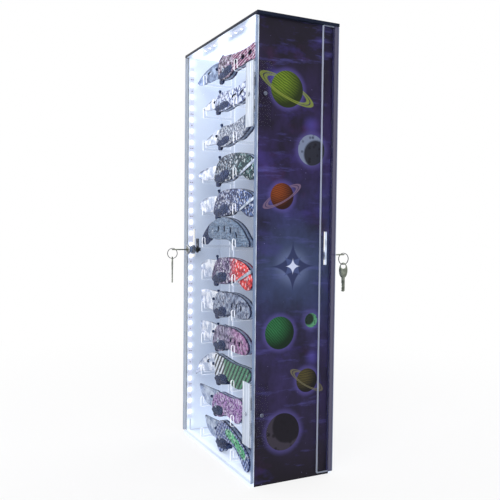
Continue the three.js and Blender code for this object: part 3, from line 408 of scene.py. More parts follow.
class Print:
    """The sheet's drawing, built one motif over another on a running colour."""

    def __init__(self, tree, across, up):
        self.tree = tree
        self.at = add(tree, "CombineXYZ", (across, up)).outputs[0]
        self.colour = None

    def shifted(self, centre, turn=0.0, squeeze=1.0):
        """The place counted from a motif's centre, turned and squeezed across its axis."""
        moved = add(self.tree, "VectorMath", (self.at, (*centre, 0)), operation="SUBTRACT")
        turned = add(self.tree, "VectorRotate", {"Vector": moved, "Angle": turn}, rotation_type="Z_AXIS")
        return add(self.tree, "Mapping", {"Vector": turned, "Scale": (1, 1 / squeeze, 1)}).outputs[0]

    def reach(self, place):
        """How far a place lies from its motif's centre."""
        return add(self.tree, "VectorMath", (place,), operation="LENGTH").outputs["Value"]

    def disc(self, centre, radius, soft_mm=0.5):
        """1 inside a round, 0 outside it."""
        far = self.reach(self.shifted(centre))
        return add(self.tree, "MapRange", (far, radius, radius - soft_mm * MM))

    def lay(self, share, colour):
        """Lays a colour over the drawing so far, as thick as its share."""
        self.colour = add(self.tree, "Mix", (share, self.colour, colour), data_type="RGBA")

    def halo(self, centre, radius, width_mm, hex_colour, share):
        """A glow about a round, fading over its width."""
        far = self.reach(self.shifted(centre))
        edges = (far, radius + width_mm * MM, radius - 1 * MM, 0.0, share)
        self.lay(add(self.tree, "MapRange", edges, interpolation_type="SMOOTHSTEP"), linear(hex_colour))

    def globe(self, centre, radius, turn, light, dark, band):
        """A banded globe, lit from the upper left and dark at its lower right."""
        self.halo(centre, radius, 7, "5d55a0", 0.5)
        place = self.shifted(centre, turn)
        belts = {"Vector": place, "Scale": 1 / (0.42 * radius), "Distortion": 4.0, "Detail": 3.0}
        belts = add(self.tree, "TexWave", belts, bands_direction="Y").outputs["Fac"]
        belts = add(self.tree, "MapRange", (belts, 0.3, 0.75))
        skin = add(self.tree, "Mix", (belts, linear(light), linear(band)), data_type="RGBA")
        lit_centre = (centre[0] - 0.38 * radius, centre[1] + 0.42 * radius)
        lit_side = self.disc(lit_centre, 1.25 * radius, 0.9 * radius / MM)
        shade = add(self.tree, "Mix", (lit_side, linear(dark), skin), data_type="RGBA")
        self.lay(self.disc(centre, radius), shade)

    def ring(self, centre, radius, turn, hex_colour):
        """A flat split ring about a globe: the near half passes over it and the far half behind it."""
        tree = self.tree
        place = self.shifted(centre, turn, 0.26)
        far = self.reach(place)
        outer = add(tree, "MapRange", (far, 1.85 * radius, 1.80 * radius))
        inner = add(tree, "MapRange", (far, 1.30 * radius, 1.35 * radius, 0.0, 0.8))
        gap = add(tree, "Math", (far, 1.58 * radius), operation="SUBTRACT")
        gap = add(tree, "Math", (gap,), operation="ABSOLUTE")
        split = add(tree, "MapRange", (gap, 0.02 * radius, 0.05 * radius))
        level = add(tree, "SeparateXYZ", (place,)).outputs["Y"]
        near = add(tree, "MapRange", (level, 0.02 * radius, -0.02 * radius))
        clear = add(tree, "Math", (1.0, self.disc(centre, radius)), operation="SUBTRACT")
        seen = add(tree, "Math", (near, clear), operation="MAXIMUM")
        band = add(tree, "Math", (outer, inner), operation="MULTIPLY")
        band = add(tree, "Math", (band, split), operation="MULTIPLY")
        self.lay(add(tree, "Math", (band, seen), operation="MULTIPLY"), linear(hex_colour))

    def crescent(self, centre, radius, bite, light, dark):
        """A thin lit moon with a dark face and small craters."""
        tree = self.tree
        self.halo(centre, radius, 8, "5a5396", 0.5)
        pits = add(tree, "TexVoronoi", {"Vector": self.at, "Scale": 1 / (0.34 * radius)})
        pits = add(tree, "MapRange", (pits, 0.15, 0.4))
        skin = add(tree, "Mix", (pits, linear(dark), linear(light)), data_type="RGBA")
        self.lay(self.disc(centre, radius), skin)
        shade_centre = (centre[0] + bite[0] * radius, centre[1] + bite[1] * radius)
        shade = self.disc(shade_centre, 0.97 * radius, 2.5)
        covered = add(tree, "Math", (shade, self.disc(centre, radius)), operation="MULTIPLY")
        self.lay(add(tree, "Math", (covered, 0.92), operation="MULTIPLY"), linear("100d18"))

    def star(self, centre, reach, turn, hex_colour, share):
        """A four-pointed star with drawn-in sides."""
        tree = self.tree
        parts = folded(tree, self.shifted(centre, turn))
        roots = [add(tree, "Math", (parts[axis], STAR_POWER), operation="POWER") for axis in "XY"]
        span = add(tree, "Math", roots, operation="ADD")
        edges = (span, reach**STAR_POWER, 0.93 * reach**STAR_POWER, 0.0, share)
        self.lay(add(tree, "MapRange", edges), linear(hex_colour))

    def cloud(self, grain_mm, wide, low, high, share, hex_colour):
        """Drifting cloud, drawn out along an axis by wide."""
        scale = (per(grain_mm * wide[0]), per(grain_mm * wide[1]), 1)
        place = add(self.tree, "Mapping", {"Vector": self.at, "Scale": scale})
        haze = add(self.tree, "TexNoise", {"Vector": place, "Scale": 1.0, "Detail": 5.0, "Roughness": 0.64})
        self.lay(add(self.tree, "MapRange", (haze, low, high, 0.0, share)), linear(hex_colour))


def printed_film():
    """Satin vinyl print on the side walls: a violet night sky with moons and planets, blue in its middle."""
    material, tree = new_material("printed_vinyl_film")
    at = add(tree, "TexCoord").outputs["Object"]
    axes = add(tree, "SeparateXYZ", (at,)).outputs
    side = add(tree, "Math", (axes["X"],), operation="SIGN")
    drawing = Print(tree, add(tree, "Math", (axes["Y"], side), operation="MULTIPLY"), axes["Z"])
    ramp = add(tree, "ValToRGB", (add(tree, "Math", (axes["Z"], CASE_TOP), operation="DIVIDE"),))
    stops = ramp.color_ramp.elements
    while len(stops) < len(SKY_STOPS):
        stops.new(0.5)
    for stop, (share, colour) in zip(stops, SKY_STOPS):
        stop.position = share
        stop.color = linear(colour)
    drawing.colour = ramp
    drawing.cloud(70, (1, 1.6), 0.30, 0.60, 0.88, "18141f")
    drawing.cloud(42, (1.7, 1), 0.54, 0.82, 0.65, "4a3e92")
    drawing.cloud(55, (1, 1), 0.58, 0.78, 0.45, "4c2450")
    drawing.cloud(20, (3, 0.6), 0.56, 0.74, 0.35, "6a68c0")
    cells = add(tree, "TexVoronoi", {"Vector": drawing.at, "Scale": per(7)}).outputs
    specks = add(tree, "MapRange", (cells["Distance"], 0.060, 0.015))
    own = add(tree, "SeparateXYZ", (cells["Color"],)).outputs["X"]
    bright = add(tree, "MapRange", (own, 0.45, 1.0))
    drawing.lay(add(tree, "Math", (specks, bright), operation="MULTIPLY"), linear("a79fe0"))
    for centre, reach in (((-0.034, 0.488), 13), ((0.020, 0.434), 14), ((0.026, 0.150), 12)):
        drawing.halo(centre, 0.001, reach, "5b52b4", 0.4)
    drawing.halo((0.0, 0.262), 0.012, 62, "46567c", 0.42)
    drawing.halo((-0.004, 0.262), 0.004, 26, "8391bd", 0.55)
    drawing.globe((-0.014, 0.474), 0.022, 0.5, "6c8428", "222c12", "43591a")
    drawing.ring((-0.014, 0.474), 0.022, 0.42, "7d8a3c")
    drawing.crescent((0.021, 0.404), 0.019, (0.34, -0.26), "76809a", "3a4054")
    drawing.globe((-0.019, 0.347), 0.016, -0.3, "84421f", "2a120e", "5e2c17")
    drawing.ring((-0.019, 0.347), 0.016, -0.5, "75607a")
    stars = ((0.0, 0.034, "2c3358"), (math.pi / 4, 0.020, "46527e"), (0.0, 0.011, "cfd7f2"))
    for turn, reach, colour in stars:
        drawing.star((-0.003, 0.263), reach, turn, colour, 0.95)
    drawing.globe((-0.020, 0.183), 0.020, 0.8, "2f6e44", "0d2417", "1b4a2d")
    drawing.crescent((0.024, 0.196), 0.009, (-0.4, 0.2), "55906c", "204434")
    drawing.globe((0.019, 0.122), 0.015, 0.2, "544c2a", "151315", "2c291e")
    drawing.ring((0.019, 0.122), 0.015, 0.55, "69654f")
    drawing.crescent((-0.014, 0.062), 0.023, (0.30, 0.30), "38333f", "1c1921")
    ripple = add(tree, "TexNoise", {"Vector": at, "Scale": per(14), "Detail": 2.0})
    look = {"Base Color": drawing.colour, "Roughness": 0.38, "IOR": 1.45, "Specular IOR Level": 0.18}
    look["Normal"] = add(tree, "Bump", {"Height": ripple, "Strength": 1.0, "Distance": 0.03 * MM})
    add(tree, "OutputMaterial", {"Surface": add(tree, "BsdfPrincipled", look)})
    return material


def cap_sheet():
    """The cap: slate edges, a dark violet printed face, and an underside with the tape's light painted on in
    broad glows, with painted shadows between them.
    """
    material, tree = new_material("printed_cap_acrylic")
    coordinates = add(tree, "TexCoord").outputs
    up = add(tree, "SeparateXYZ", (coordinates["Normal"],)).outputs["Z"]
    at = add(tree, "SeparateXYZ", (coordinates["Object"],)).outputs
    across = add(tree, "Math", (at["X"],), operation="ABSOLUTE")
    inside = add(tree, "Math", (across, WALL_OUTER - 1 * MM), operation="LESS_THAN")
    top = add(tree, "MapRange", (up, 0.6, 0.95))
    under = add(tree, "Math", (add(tree, "MapRange", (up, -0.6, -0.95)), inside), operation="MULTIPLY")
    cloud = add(tree, "TexNoise", {"Vector": coordinates["Object"], "Scale": per(60), "Detail": 5.0})
    sky = add(tree, "Mix", (cloud, linear("1d172f"), linear("383060")), data_type="RGBA")
    stars = add(tree, "TexVoronoi", {"Vector": coordinates["Object"], "Scale": per(8)})
    specks = add(tree, "MapRange", (stars, 0.05, 0.015))
    sky = add(tree, "Mix", (specks, sky, linear("a79fe0")), data_type="RGBA")
    grain = add(tree, "TexNoise", {"Vector": coordinates["Object"], "Scale": per(25), "Detail": 2.0})
    edge = add(tree, "Mix", (grain, linear("141826"), linear("252b3e")), data_type="RGBA")
    # Painted light and shade on the underside: an emitted glow, weaker and bluer in the slanted painted
    # shadows.
    dim = ceiling_shade(tree, coordinates["Object"])
    ceiling = add(tree, "Mix", (dim, linear("eef3fa"), linear("bccbe0")), data_type="RGBA")
    colour = add(tree, "Mix", (top, edge, sky), data_type="RGBA")
    look = {"Base Color": add(tree, "Mix", (under, colour, ceiling), data_type="RGBA")}
    look.update({"Roughness": 0.25, "IOR": 1.49, "Specular IOR Level": 0.04})
    look["Emission Color"] = linear("e6eefc")
    glow = add(tree, "MapRange", (dim, 0.0, 1.0, 0.75, 0.28))
    look["Emission Strength"] = add(tree, "Math", (under, glow), operation="MULTIPLY")
    look["Normal"] = add(tree, "Bump", {"Height": grain, "Strength": 1.0, "Distance": 0.03 * MM})
    add(tree, "OutputMaterial", {"Surface": add(tree, "BsdfPrincipled", look)})
    return material


OPAL = opal_acrylic()
CLEAR = clear_acrylic()
COMB = comb_acrylic()
HINGE = hinge_polycarbonate()
FILM = printed_film()
CAP = cap_sheet()
WALL_TAPE = tape_board("white_solder_mask", True)
CAP_TAPE = tape_board("white_solder_mask_under_the_cap", False)
LENS = lamp_lens()
# Bright zinc plate on a die-cast lock: a cool, mirror-like grey with softened highlights
ZINC = plated_metal("bright_zinc_plate", "9fa3aa", "6c7078", 0.24)
# Nickel plate on stamped brass keys, handled and grey green
NICKEL = plated_metal("worn_nickel_plate", "84897d", "4f544c", 0.36)
# Blackened spring steel of the split rings and cams
DARK_STEEL = plated_metal("blackened_spring_steel", "4b4e55", "2a2d33", 0.38)
# Zinc-plated machine screws, dulled
SCREW_STEEL = plated_metal("dull_zinc_screw_plate", "8a90a2", "4c5266", 0.42)
# Black oxide on bolsters and tabs: blue black, with a satin shine on worn edges
BLACK_OXIDE = plated_metal("black_oxide_steel", "35446a", "161d3a", 0.5)
# Stainless liners, screws and clips, brushed
BRUSHED = plated_metal("brushed_stainless_steel", "b9c4d6", "6e7b92", 0.3, 0.4, 20)
# PVC cable sheath, soft and slightly glossy
SHEATH = moulded("white_pvc_sheath", "dfe4ec", "c3cbd9", 0.45)
# Black nylon of the power socket
NYLON = moulded("black_nylon", "26272b", "1a1b1e", 0.5)
# Fired resistor bodies on the tape
RESISTOR = moulded("resistor_ceramic", "6b4f50", "473438", 0.5, 0.3)


# Modelling helpers
WHOLE_CREASE = 35
BLADE_CREASE = 4
SHARP_DEGREES = 40
FLAT_DEGREES = 1
WELD = 1e-6
FINE_WELD = 1e-7
LOFT_WELD = 2e-6
PLATE_STEPS = 4
BEVEL_STEPS = 2
SMALL_SIDES = 24


def settle(bm, crease_degrees):
    """Points all faces out, smooths shallow edges and leaves the sharp ones crisp."""
    bmesh.ops.recalc_face_normals(bm, faces=bm.faces)
    for face in bm.faces:
        face.smooth = True
    limit = math.radians(crease_degrees)
    for edge in bm.edges:
        edge.smooth = not edge.is_manifold or edge.calc_face_angle(0.0) < limit
    return bm


def piece(name, bm, material, body, slot=None, replaced=(), crease=WHOLE_CREASE):
    """A finished object from a bmesh, riding on its body."""
    mesh = bpy.data.meshes.new(name)
    settle(bm, crease).to_mesh(mesh)
    bm.free()
    mesh.materials.append(material)
    shown = bpy.data.objects.new(name, mesh)
    bpy.context.scene.collection.objects.link(shown)
    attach(shown, body)
    slot or SLOTS[replaced[0]]
    if replaced:
        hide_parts(*replaced)
    return shown


def gathered(parts):
    """Several bmeshes as one."""
    whole = bmesh.new()
    for part in parts:
        mesh = bpy.data.meshes.new("part")
        part.to_mesh(mesh)
        part.free()
        whole.from_mesh(mesh)
        bpy.data.meshes.remove(mesh)
    return whole


def eased_copy(node, ease_mm, segments):
    """A merged copy of a CAD piece with its sharp edges rounded."""
    bm = bmesh.new()
    bm.from_mesh(nodes[node].data)
    bmesh.ops.remove_doubles(bm, verts=bm.verts, dist=WELD)
    flat = math.radians(FLAT_DEGREES)
    bmesh.ops.dissolve_limit(bm, angle_limit=flat, verts=bm.verts, edges=bm.edges)
    limit = math.radians(SHARP_DEGREES)
    sharp = [edge for edge in bm.edges if edge.is_manifold and edge.calc_face_angle(0.0) > limit]
    if ease_mm:
        bmesh.ops.bevel(
            bm,
            geom=sharp,
            offset=ease_mm * MM,
            offset_type="OFFSET",
            segments=segments,
            profile=0.5,
            affect="EDGES",
            clamp_overlap=True,
            material=-1,
        )
    return bm


def dress(node, material, ease_mm, segments=BEVEL_STEPS):
    """Shows a CAD piece with eased edges in its finish."""
    bm = eased_copy(node, ease_mm, segments)
    return piece(node + "_finish", bm, material, nodes[node]["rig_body"], replaced=(node,))


def from_curve(curve):
    """A curve's evaluated surface as a merged bmesh."""
    holder = bpy.data.objects.new("curve", curve)
    bpy.context.scene.collection.objects.link(holder)
    graph = bpy.context.evaluated_depsgraph_get()
    mesh = bpy.data.meshes.new_from_object(holder.evaluated_get(graph))
    bm = bmesh.new()
    bm.from_mesh(mesh)
    bmesh.ops.remove_doubles(bm, verts=bm.verts, dist=WELD)
    bpy.data.objects.remove(holder)
    bpy.data.curves.remove(curve)
    bpy.data.meshes.remove(mesh)
    return bm


def outline(curve, points, round_corners):
    """One closed line of a flat curve, through points in metres."""
    kind = "BEZIER" if round_corners else "POLY"
    spline = curve.splines.new(kind)
    knots = spline.bezier_points if round_corners else spline.points
    knots.add(len(points) - 1)
    for knot, (x, z) in zip(knots, points):
        knot.co = (x, z, 0) if round_corners else (x, z, 0, 1)
        if round_corners:
            knot.handle_left_type = knot.handle_right_type = "AUTO"
    spline.use_cyclic_u = True


def plate(outer, holes, thickness_mm, y, ease_mm, inset_mm=0.0, round_corners=True):
    """A plate in the XZ plane about depth y, with holes and rounded edges."""
    curve = bpy.data.curves.new("plate", "CURVE")
    curve.dimensions = "2D"
    curve.fill_mode = "BOTH"
    curve.resolution_u = PLATE_STEPS
    curve.extrude = (thickness_mm / 2 - ease_mm) * MM
    curve.bevel_depth = ease_mm * MM
    curve.bevel_resolution = BEVEL_STEPS
    curve.offset = -(ease_mm + inset_mm) * MM
    outline(curve, outer, round_corners)
    for hole in holes:
        outline(curve, hole, True)
    bm = from_curve(curve)
    bmesh.ops.rotate(bm, verts=bm.verts, cent=(0, 0, 0), matrix=Matrix.Rotation(math.pi / 2, 3, "X"))
    bmesh.ops.translate(bm, verts=bm.verts, vec=(0, y, 0))
    return bm


def turned(profile_mm, axis_place, direction, sides=48):
    """A solid of revolution from (along, radius) points in mm, about an axis through axis_place."""
    bm = bmesh.new()
    verts = [bm.verts.new((0, radius * MM, along * MM)) for along, radius in profile_mm]
    edges = [bm.edges.new(pair) for pair in zip(verts, verts[1:])]
    bmesh.ops.spin(
        bm,
        geom=verts + edges,
        cent=(0, 0, 0),
        axis=(0, 0, 1),
        dvec=(0, 0, 0),
        angle=2 * math.pi,
        steps=sides,
        use_merge=True,
    )
    bmesh.ops.remove_doubles(bm, verts=bm.verts, dist=FINE_WELD)
    turn = Vector((0, 0, 1)).rotation_difference(Vector(direction)).to_matrix()
    bmesh.ops.rotate(bm, verts=bm.verts, cent=(0, 0, 0), matrix=turn)
    bmesh.ops.translate(bm, verts=bm.verts, vec=axis_place)
    return bm


def cut_away(bm, tools):
    """The bmesh less the tools, by an exact boolean."""
    meshes = [bpy.data.meshes.new("cut") for _ in range(2)]
    settle(bm, WHOLE_CREASE).to_mesh(meshes[0])
    settle(tools, WHOLE_CREASE).to_mesh(meshes[1])
    bm.free()
    tools.free()
    holders = [bpy.data.objects.new("cut", mesh) for mesh in meshes]
    for holder in holders:
        bpy.context.scene.collection.objects.link(holder)
    boolean = holders[0].modifiers.new("cut", "BOOLEAN")
    boolean.operation = "DIFFERENCE"
    boolean.solver = "EXACT"
    boolean.object = holders[1]
    graph = bpy.context.evaluated_depsgraph_get()
    mesh = bpy.data.meshes.new_from_object(holders[0].evaluated_get(graph))
    result = bmesh.new()
    result.from_mesh(mesh)
    for holder in holders:
        bpy.data.objects.remove(holder)
    for used in (*meshes, mesh):
        bpy.data.meshes.remove(used)
    return result


def half_turn(bm):
    """The same shape on the rear side: turned half round about the case's upright axis."""
    bmesh.ops.rotate(bm, verts=bm.verts, cent=(0, 0, 0), matrix=Matrix.Rotation(math.pi, 3, "Z"))
    return bm


def on_end(end, bm):
    """A shape made for the front, as it lies at the end that is asked for."""
    return half_turn(bm) if end == "rear" else bm


# The case's sheets
for panel in ("base_panel", "divider_panel", "left_side_wall", "right_side_wall"):
    dress(panel, OPAL, 0.3)
dress("top_panel", CAP, 0.4, 3)
for film in ("left_graphic_sheet", "right_graphic_sheet"):
    nodes[film].material_slots[0].material = FILM
for end in ENDS:
    dress(end + "_door", CLEAR, 0.35, 3)
    for comb in ("_blade_hook_comb", "_handle_hook_comb"):
        dress(end + comb, COMB, 0.3)


# Door hinges: clear moulded leaves, each with one screw, about a steel pin
HINGE_BARREL_RADIUS_MM = 2.4
HINGE_PIN_RADIUS_MM = 1.1
LEAF_FACE_MM = 0.4
HINGE_SCREW_REACH_MM = 14.0
SCREW_HEAD_RADIUS_MM = 2.4
SCREW_HEAD_HEIGHT_MM = 1.3


def screw_head(place, direction):
    """A pan head with a round recess, its face outwards."""
    tall, wide = SCREW_HEAD_HEIGHT_MM, SCREW_HEAD_RADIUS_MM
    profile = [(-0.3, 0), (-0.3, wide), (0.35 * tall, wide), (0.8 * tall, 0.8 * wide), (tall, 0.5 * wide)]
    profile += [(tall, 0.38 * wide), (0.5 * tall, 0.32 * wide), (0.5 * tall, 0)]
    return turned(profile, place, direction, SMALL_SIDES)


def pin_ends(axis, low_z, high_z):
    """The pin's two rounded ends, just proud of the barrel."""
    domes = []
    for z, direction in ((low_z, -1), (high_z, 1)):
        radius = HINGE_PIN_RADIUS_MM
        profile = [(-0.5, 0), (-0.5, radius), (0.1, radius), (0.25, 0.7 * radius), (0.3, 0)]
        domes.append(turned(profile, (*axis, z), (0, 0, direction), 16))
    return gathered(domes)


def hinge(level):
    """One front hinge's small parts: the door leaf's screw, the wall leaf's screw and the pin's ends."""
    low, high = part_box(f"front_{level}_hinge_wall_leaf")
    axis = (high.x - HINGE_BARREL_RADIUS_MM * MM, low.y + HINGE_BARREL_RADIUS_MM * MM)
    middle = (low.z + high.z) / 2
    reach, face = HINGE_SCREW_REACH_MM * MM, LEAF_FACE_MM * MM
    on_door = screw_head((axis[0] - reach, axis[1] - face, middle), (0, -1, 0))
    on_wall = screw_head((axis[0] + face, axis[1] + reach, middle), (1, 0, 0))
    return {"door_leaf": [on_door], "wall_leaf": [on_wall, pin_ends(axis, low.z, high.z)]}


for end in ENDS:
    for level in ("lower", "upper"):
        for leaf, parts in hinge(level).items():
            node = f"{end}_{level}_hinge_{leaf}"
            dress(node, HINGE, 0.25)
            fixings = on_end(end, gathered(parts))
            piece(node + "_screw", fixings, SCREW_STEEL, nodes[node]["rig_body"], SLOTS[node])


# Lamp tapes: board, lamps with their lit lenses, resistors and solder pads
TAPE_BOARD_SHARE = 0.3
BOARD_EASE_MM = 0.1
LAMP_EASE_MM = 0.2
LENS_RADIUS_MM = 1.45
LENS_PROUD_MM = 0.3
LENS_ROOM_MM = 0.15
RESISTOR_MM = (0.55, 1.5, 0.8)
RESISTOR_EASE_MM = 0.08
PAD_MM = (0.12, 1.6, 1.0)
PAD_EASE_MM = 0.02
PAD_SHIFT_MM = 1.4
LAMPS_PER_CUT = 3


def little_block(bm, centre, size, ease_mm):
    """Adds one eased block."""
    matrix = Matrix.Translation(centre) @ Matrix.Diagonal((*size, 1))
    made = bmesh.ops.create_cube(bm, size=1, matrix=matrix)
    edges = {edge for vert in made["verts"] for edge in vert.link_edges}
    bmesh.ops.bevel(
        bm, geom=list(edges), offset=ease_mm * MM, segments=1, profile=0.5, affect="EDGES", material=-1
    )


def lens(bm, centre, axis):
    """Adds one low dome over a lamp."""
    turn = Vector((0, 0, 1)).rotation_difference(Vector(axis)).to_matrix().to_4x4()
    matrix = Matrix.Translation(centre) @ turn @ Matrix.Diagonal((1, 1, LENS_PROUD_MM / LENS_RADIUS_MM, 1))
    bmesh.ops.create_uvsphere(bm, u_segments=12, v_segments=6, radius=LENS_RADIUS_MM * MM, matrix=matrix)


def wall_tape(node, facing):
    """One upright tape; the lamps look along X towards facing."""
    low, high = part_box(node)
    back = low.x if facing > 0 else high.x
    middle = (low.y + high.y) / 2
    depth = high.x - low.x
    board, lamps, bits = bmesh.new(), bmesh.new(), bmesh.new()
    board_depth = TAPE_BOARD_SHARE * depth
    centre = (back + facing * board_depth / 2, middle, (low.z + high.z) / 2)
    little_block(board, centre, (board_depth, high.y - low.y, high.z - low.z), BOARD_EASE_MM)
    side = LAMP_SIDE_MM * MM
    reach = depth - LENS_ROOM_MM * MM
    for lamp in range(LAMP_COUNT):
        z = LAMP_FIRST_Z + lamp * LAMP_PITCH_MM * MM
        little_block(board, (back + facing * reach / 2, middle, z), (reach, side, side), LAMP_EASE_MM)
        lens(lamps, (back + facing * reach, middle, z), (1, 0, 0))
        between = z + LAMP_PITCH_MM * MM / 2
        if lamp < LAMP_COUNT - 1 and lamp % LAMPS_PER_CUT == 1:
            size = [length * MM for length in RESISTOR_MM]
            at = (back + facing * (board_depth + size[0] / 2), middle, between)
            little_block(bits, at, size, RESISTOR_EASE_MM)
        if lamp < LAMP_COUNT - 1 and lamp % LAMPS_PER_CUT == 2:
            size = [length * MM for length in PAD_MM]
            for shift in (-PAD_SHIFT_MM * MM, PAD_SHIFT_MM * MM):
                at = (back + facing * (board_depth + size[0] / 2), middle + shift, between)
                little_block(bits, at, size, PAD_EASE_MM)
    body = nodes[node]["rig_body"]
    piece(node + "_tape", board, WALL_TAPE, body, replaced=(node,))
    piece(node + "_lenses", lamps, LENS, body, "lamp_board")
    piece(node + "_resistors", bits, RESISTOR, body, "black_plastic")


def cap_tape(node):
    """The tape under the cap; the lamps look down."""
    low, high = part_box(node)
    middle = (low.y + high.y) / 2
    depth = high.z - low.z
    board, lamps = bmesh.new(), bmesh.new()
    board_depth = TAPE_BOARD_SHARE * depth
    centre = (0, middle, high.z - board_depth / 2)
    little_block(board, centre, (high.x - low.x, high.y - low.y, board_depth), BOARD_EASE_MM)
    side = LAMP_SIDE_MM * MM
    reach = depth - LENS_ROOM_MM * MM
    count = round((high.x - low.x) / (LAMP_PITCH_MM * MM))
    for lamp in range(count):
        x = low.x + (lamp + 0.5) * LAMP_PITCH_MM * MM
        little_block(board, (x, middle, high.z - reach / 2), (side, side, reach), LAMP_EASE_MM)
        lens(lamps, (x, middle, high.z - reach), (0, 0, 1))
    body = nodes[node]["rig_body"]
    piece(node + "_tape", board, CAP_TAPE, body, replaced=(node,))
    piece(node + "_lenses", lamps, LENS, body, "lamp_board")


for end, facing in (("front", 1), ("rear", -1)):
    wall_tape(end + "_lock_side_lamp_strip", facing)
    wall_tape(end + "_hinge_side_lamp_strip", -facing)
    cap_tape(end + "_top_lamp_strip")
    dress(end + "_lamp_cable", SHEATH, 0)
dress("feed_lead", SHEATH, 0)
dress("power_socket", NYLON, 0.2)
dress("power_socket_nut", NICKEL, 0.25)


# Locks, keys and split rings, drawn for the front and turned for the rear
lock_low, lock_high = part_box("front_lock_housing")
LOCK = Vector(((lock_low.x + lock_high.x) / 2, lock_low.y, (lock_low.z + lock_high.z) / 2))
FACE_RADIUS_MM = (lock_high.x - lock_low.x) / 2 / MM
LOCK_LENGTH_MM = (lock_high.y - lock_low.y) / MM
BARREL_RADIUS_MM = 4.5
BORE_RADIUS_MM = 3.3
FACE_THICKNESS_MM = 2.5
THREAD_PITCH_MM = 0.8
RING_RADIUS_MM = 7.3
RING_WIRE_MM = 0.42
RING_TURNS = 2
RING_STEPS = 48
RING_START = 2.2


def lock_case():
    """The lock's case: a domed round face with a sunk middle, and a threaded barrel behind it."""
    face = FACE_RADIUS_MM
    profile = [
        (0.6, BORE_RADIUS_MM), (0.2, BORE_RADIUS_MM + 0.35), (0.2, face - 2.2), (0.0, face - 1.8),
        (0.1, face - 1.2), (0.5, face - 0.5), (1.1, face - 0.1), (1.6, face), (FACE_THICKNESS_MM - 0.2, face),
        (FACE_THICKNESS_MM, face - 0.2), (FACE_THICKNESS_MM, BARREL_RADIUS_MM - 0.3),
    ]
    along = FACE_THICKNESS_MM + 0.6
    while along < LOCK_LENGTH_MM - THREAD_PITCH_MM:
        profile += [(along, BARREL_RADIUS_MM - 0.3), (along + THREAD_PITCH_MM / 2, BARREL_RADIUS_MM)]
        along += THREAD_PITCH_MM
    profile += [(LOCK_LENGTH_MM, BARREL_RADIUS_MM - 0.3), (LOCK_LENGTH_MM, BORE_RADIUS_MM)]
    profile.append((0.6, BORE_RADIUS_MM))
    return turned(profile, LOCK, (0, 1, 0))


def split_ring():
    """Two close turns of wire about the key's hole."""
    low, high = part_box("front_key_ring")
    centre = (low + high) / 2
    curve = bpy.data.curves.new("ring", "CURVE")
    curve.dimensions = "3D"
    curve.bevel_depth = RING_WIRE_MM * MM
    curve.bevel_resolution = 3
    curve.use_fill_caps = True
    spline = curve.splines.new("POLY")
    spline.points.add(RING_TURNS * RING_STEPS)
    radius = RING_RADIUS_MM * MM
    for i, point in enumerate(spline.points):
        angle = 2 * math.pi * i / RING_STEPS + RING_START
        shift = (i / (RING_TURNS * RING_STEPS) - 0.5) * 2 * RING_WIRE_MM * MM
        y, z = centre.y + radius * math.cos(angle), centre.z + radius * math.sin(angle)
        point.co = (centre.x + shift, y, z, 1)
    return from_curve(curve)


TURNED_LOCK_PARTS = (
    ("_lock_housing", "_lock_case", lock_case, ZINC),
    ("_key_ring", "_split_ring", split_ring, DARK_STEEL),
)
EASED_LOCK_PARTS = (
    ("_lock_nut", ZINC, 0.3),
    ("_lock_plug", NICKEL, 0.15),
    ("_lock_cam", DARK_STEEL, 0.2),
    ("_cam_screw", DARK_STEEL, 0.2),
    ("_lock_key", NICKEL, 0.3),
    ("_spare_key", NICKEL, 0.3),
)
for end in ENDS:
    for suffix, name, make, material in TURNED_LOCK_PARTS:
        node = end + suffix
        piece(end + name, on_end(end, make()), material, nodes[node]["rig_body"], replaced=(node,))
    for suffix, material, ease_mm in EASED_LOCK_PARTS:
        dress(end + suffix, material, ease_mm)


# Knives, in shares of length and rise: spine and edge run back from the tip, a handle round from its pivot
SPEAR = (
    ((0, 0.36), (0.1, 0.58), (0.3, 0.86), (0.52, 1.02), (0.72, 1.08), (1.06, 1)),
    ((0, 0.36), (0.1, 0.18), (0.3, 0.04), (0.6, 0), (1.06, 0)),
)
NEEDLE = (
    ((0, 0.3), (0.2, 0.52), (0.5, 0.85), (0.8, 1.1), (1.2, 1.2)),
    ((0, 0.3), (0.12, 0.1), (0.35, 0), (0.7, 0), (1.2, 0.3)),
)
DROP = (
    ((0, 0.55), (0.05, 0.72), (0.25, 0.9), (0.6, 1.04), (1.26, 1.06)),
    ((0, 0.55), (0.02, 0.38), (0.1, 0.2), (0.3, 0.03), (0.6, 0), (1.26, 0.3)),
)
TANTO = (
    ((0, 1), (0.25, 1.08), (0.6, 1.12), (1.26, 1.1)),
    ((0, 0.3), (0.2, 0.1), (0.45, 0.02), (0.7, 0), (1.26, 0.3)),
)
HAWK = (
    ((0, -0.5), (0.1, -0.02), (0.22, 0.38), (0.42, 0.76), (0.66, 1.08), (0.9, 1.3), (1.06, 1.3)),
    ((0, -0.5), (0.18, -0.26), (0.36, -0.05), (0.52, 0.02), (0.7, 0.16), (0.84, 0.3), (1.06, 0.2)),
)
BELLY = (
    ((0, 0.86), (0.04, 1), (0.3, 1.05), (0.7, 1.1), (1.26, 1.2)),
    ((0, 0.86), (0.12, 0.42), (0.32, 0.14), (0.55, 0), (0.8, 0), (1.26, 0.3)),
)
FANNED = (
    ((0, 0.02), (0.04, 0.28), (0.3, 0.6), (0.65, 0.85), (1.1, 1.05)),
    ((0, 0.02), (0.2, 0), (0.5, 0), (0.8, 0.14), (1.1, 0.35)),
)
BAR = (
    (-0.02, 0.4), (0, 0.9), (0.06, 1.08), (0.2, 1.04), (0.45, 0.9), (0.75, 0.84), (0.96, 0.88), (1, 0.7),
    (1, 0.2), (0.94, 0.06), (0.8, 0.1), (0.64, 0.02), (0.48, 0), (0.38, -0.04), (0.33, -0.2), (0.1, -0.26),
    (0, -0.1),
)
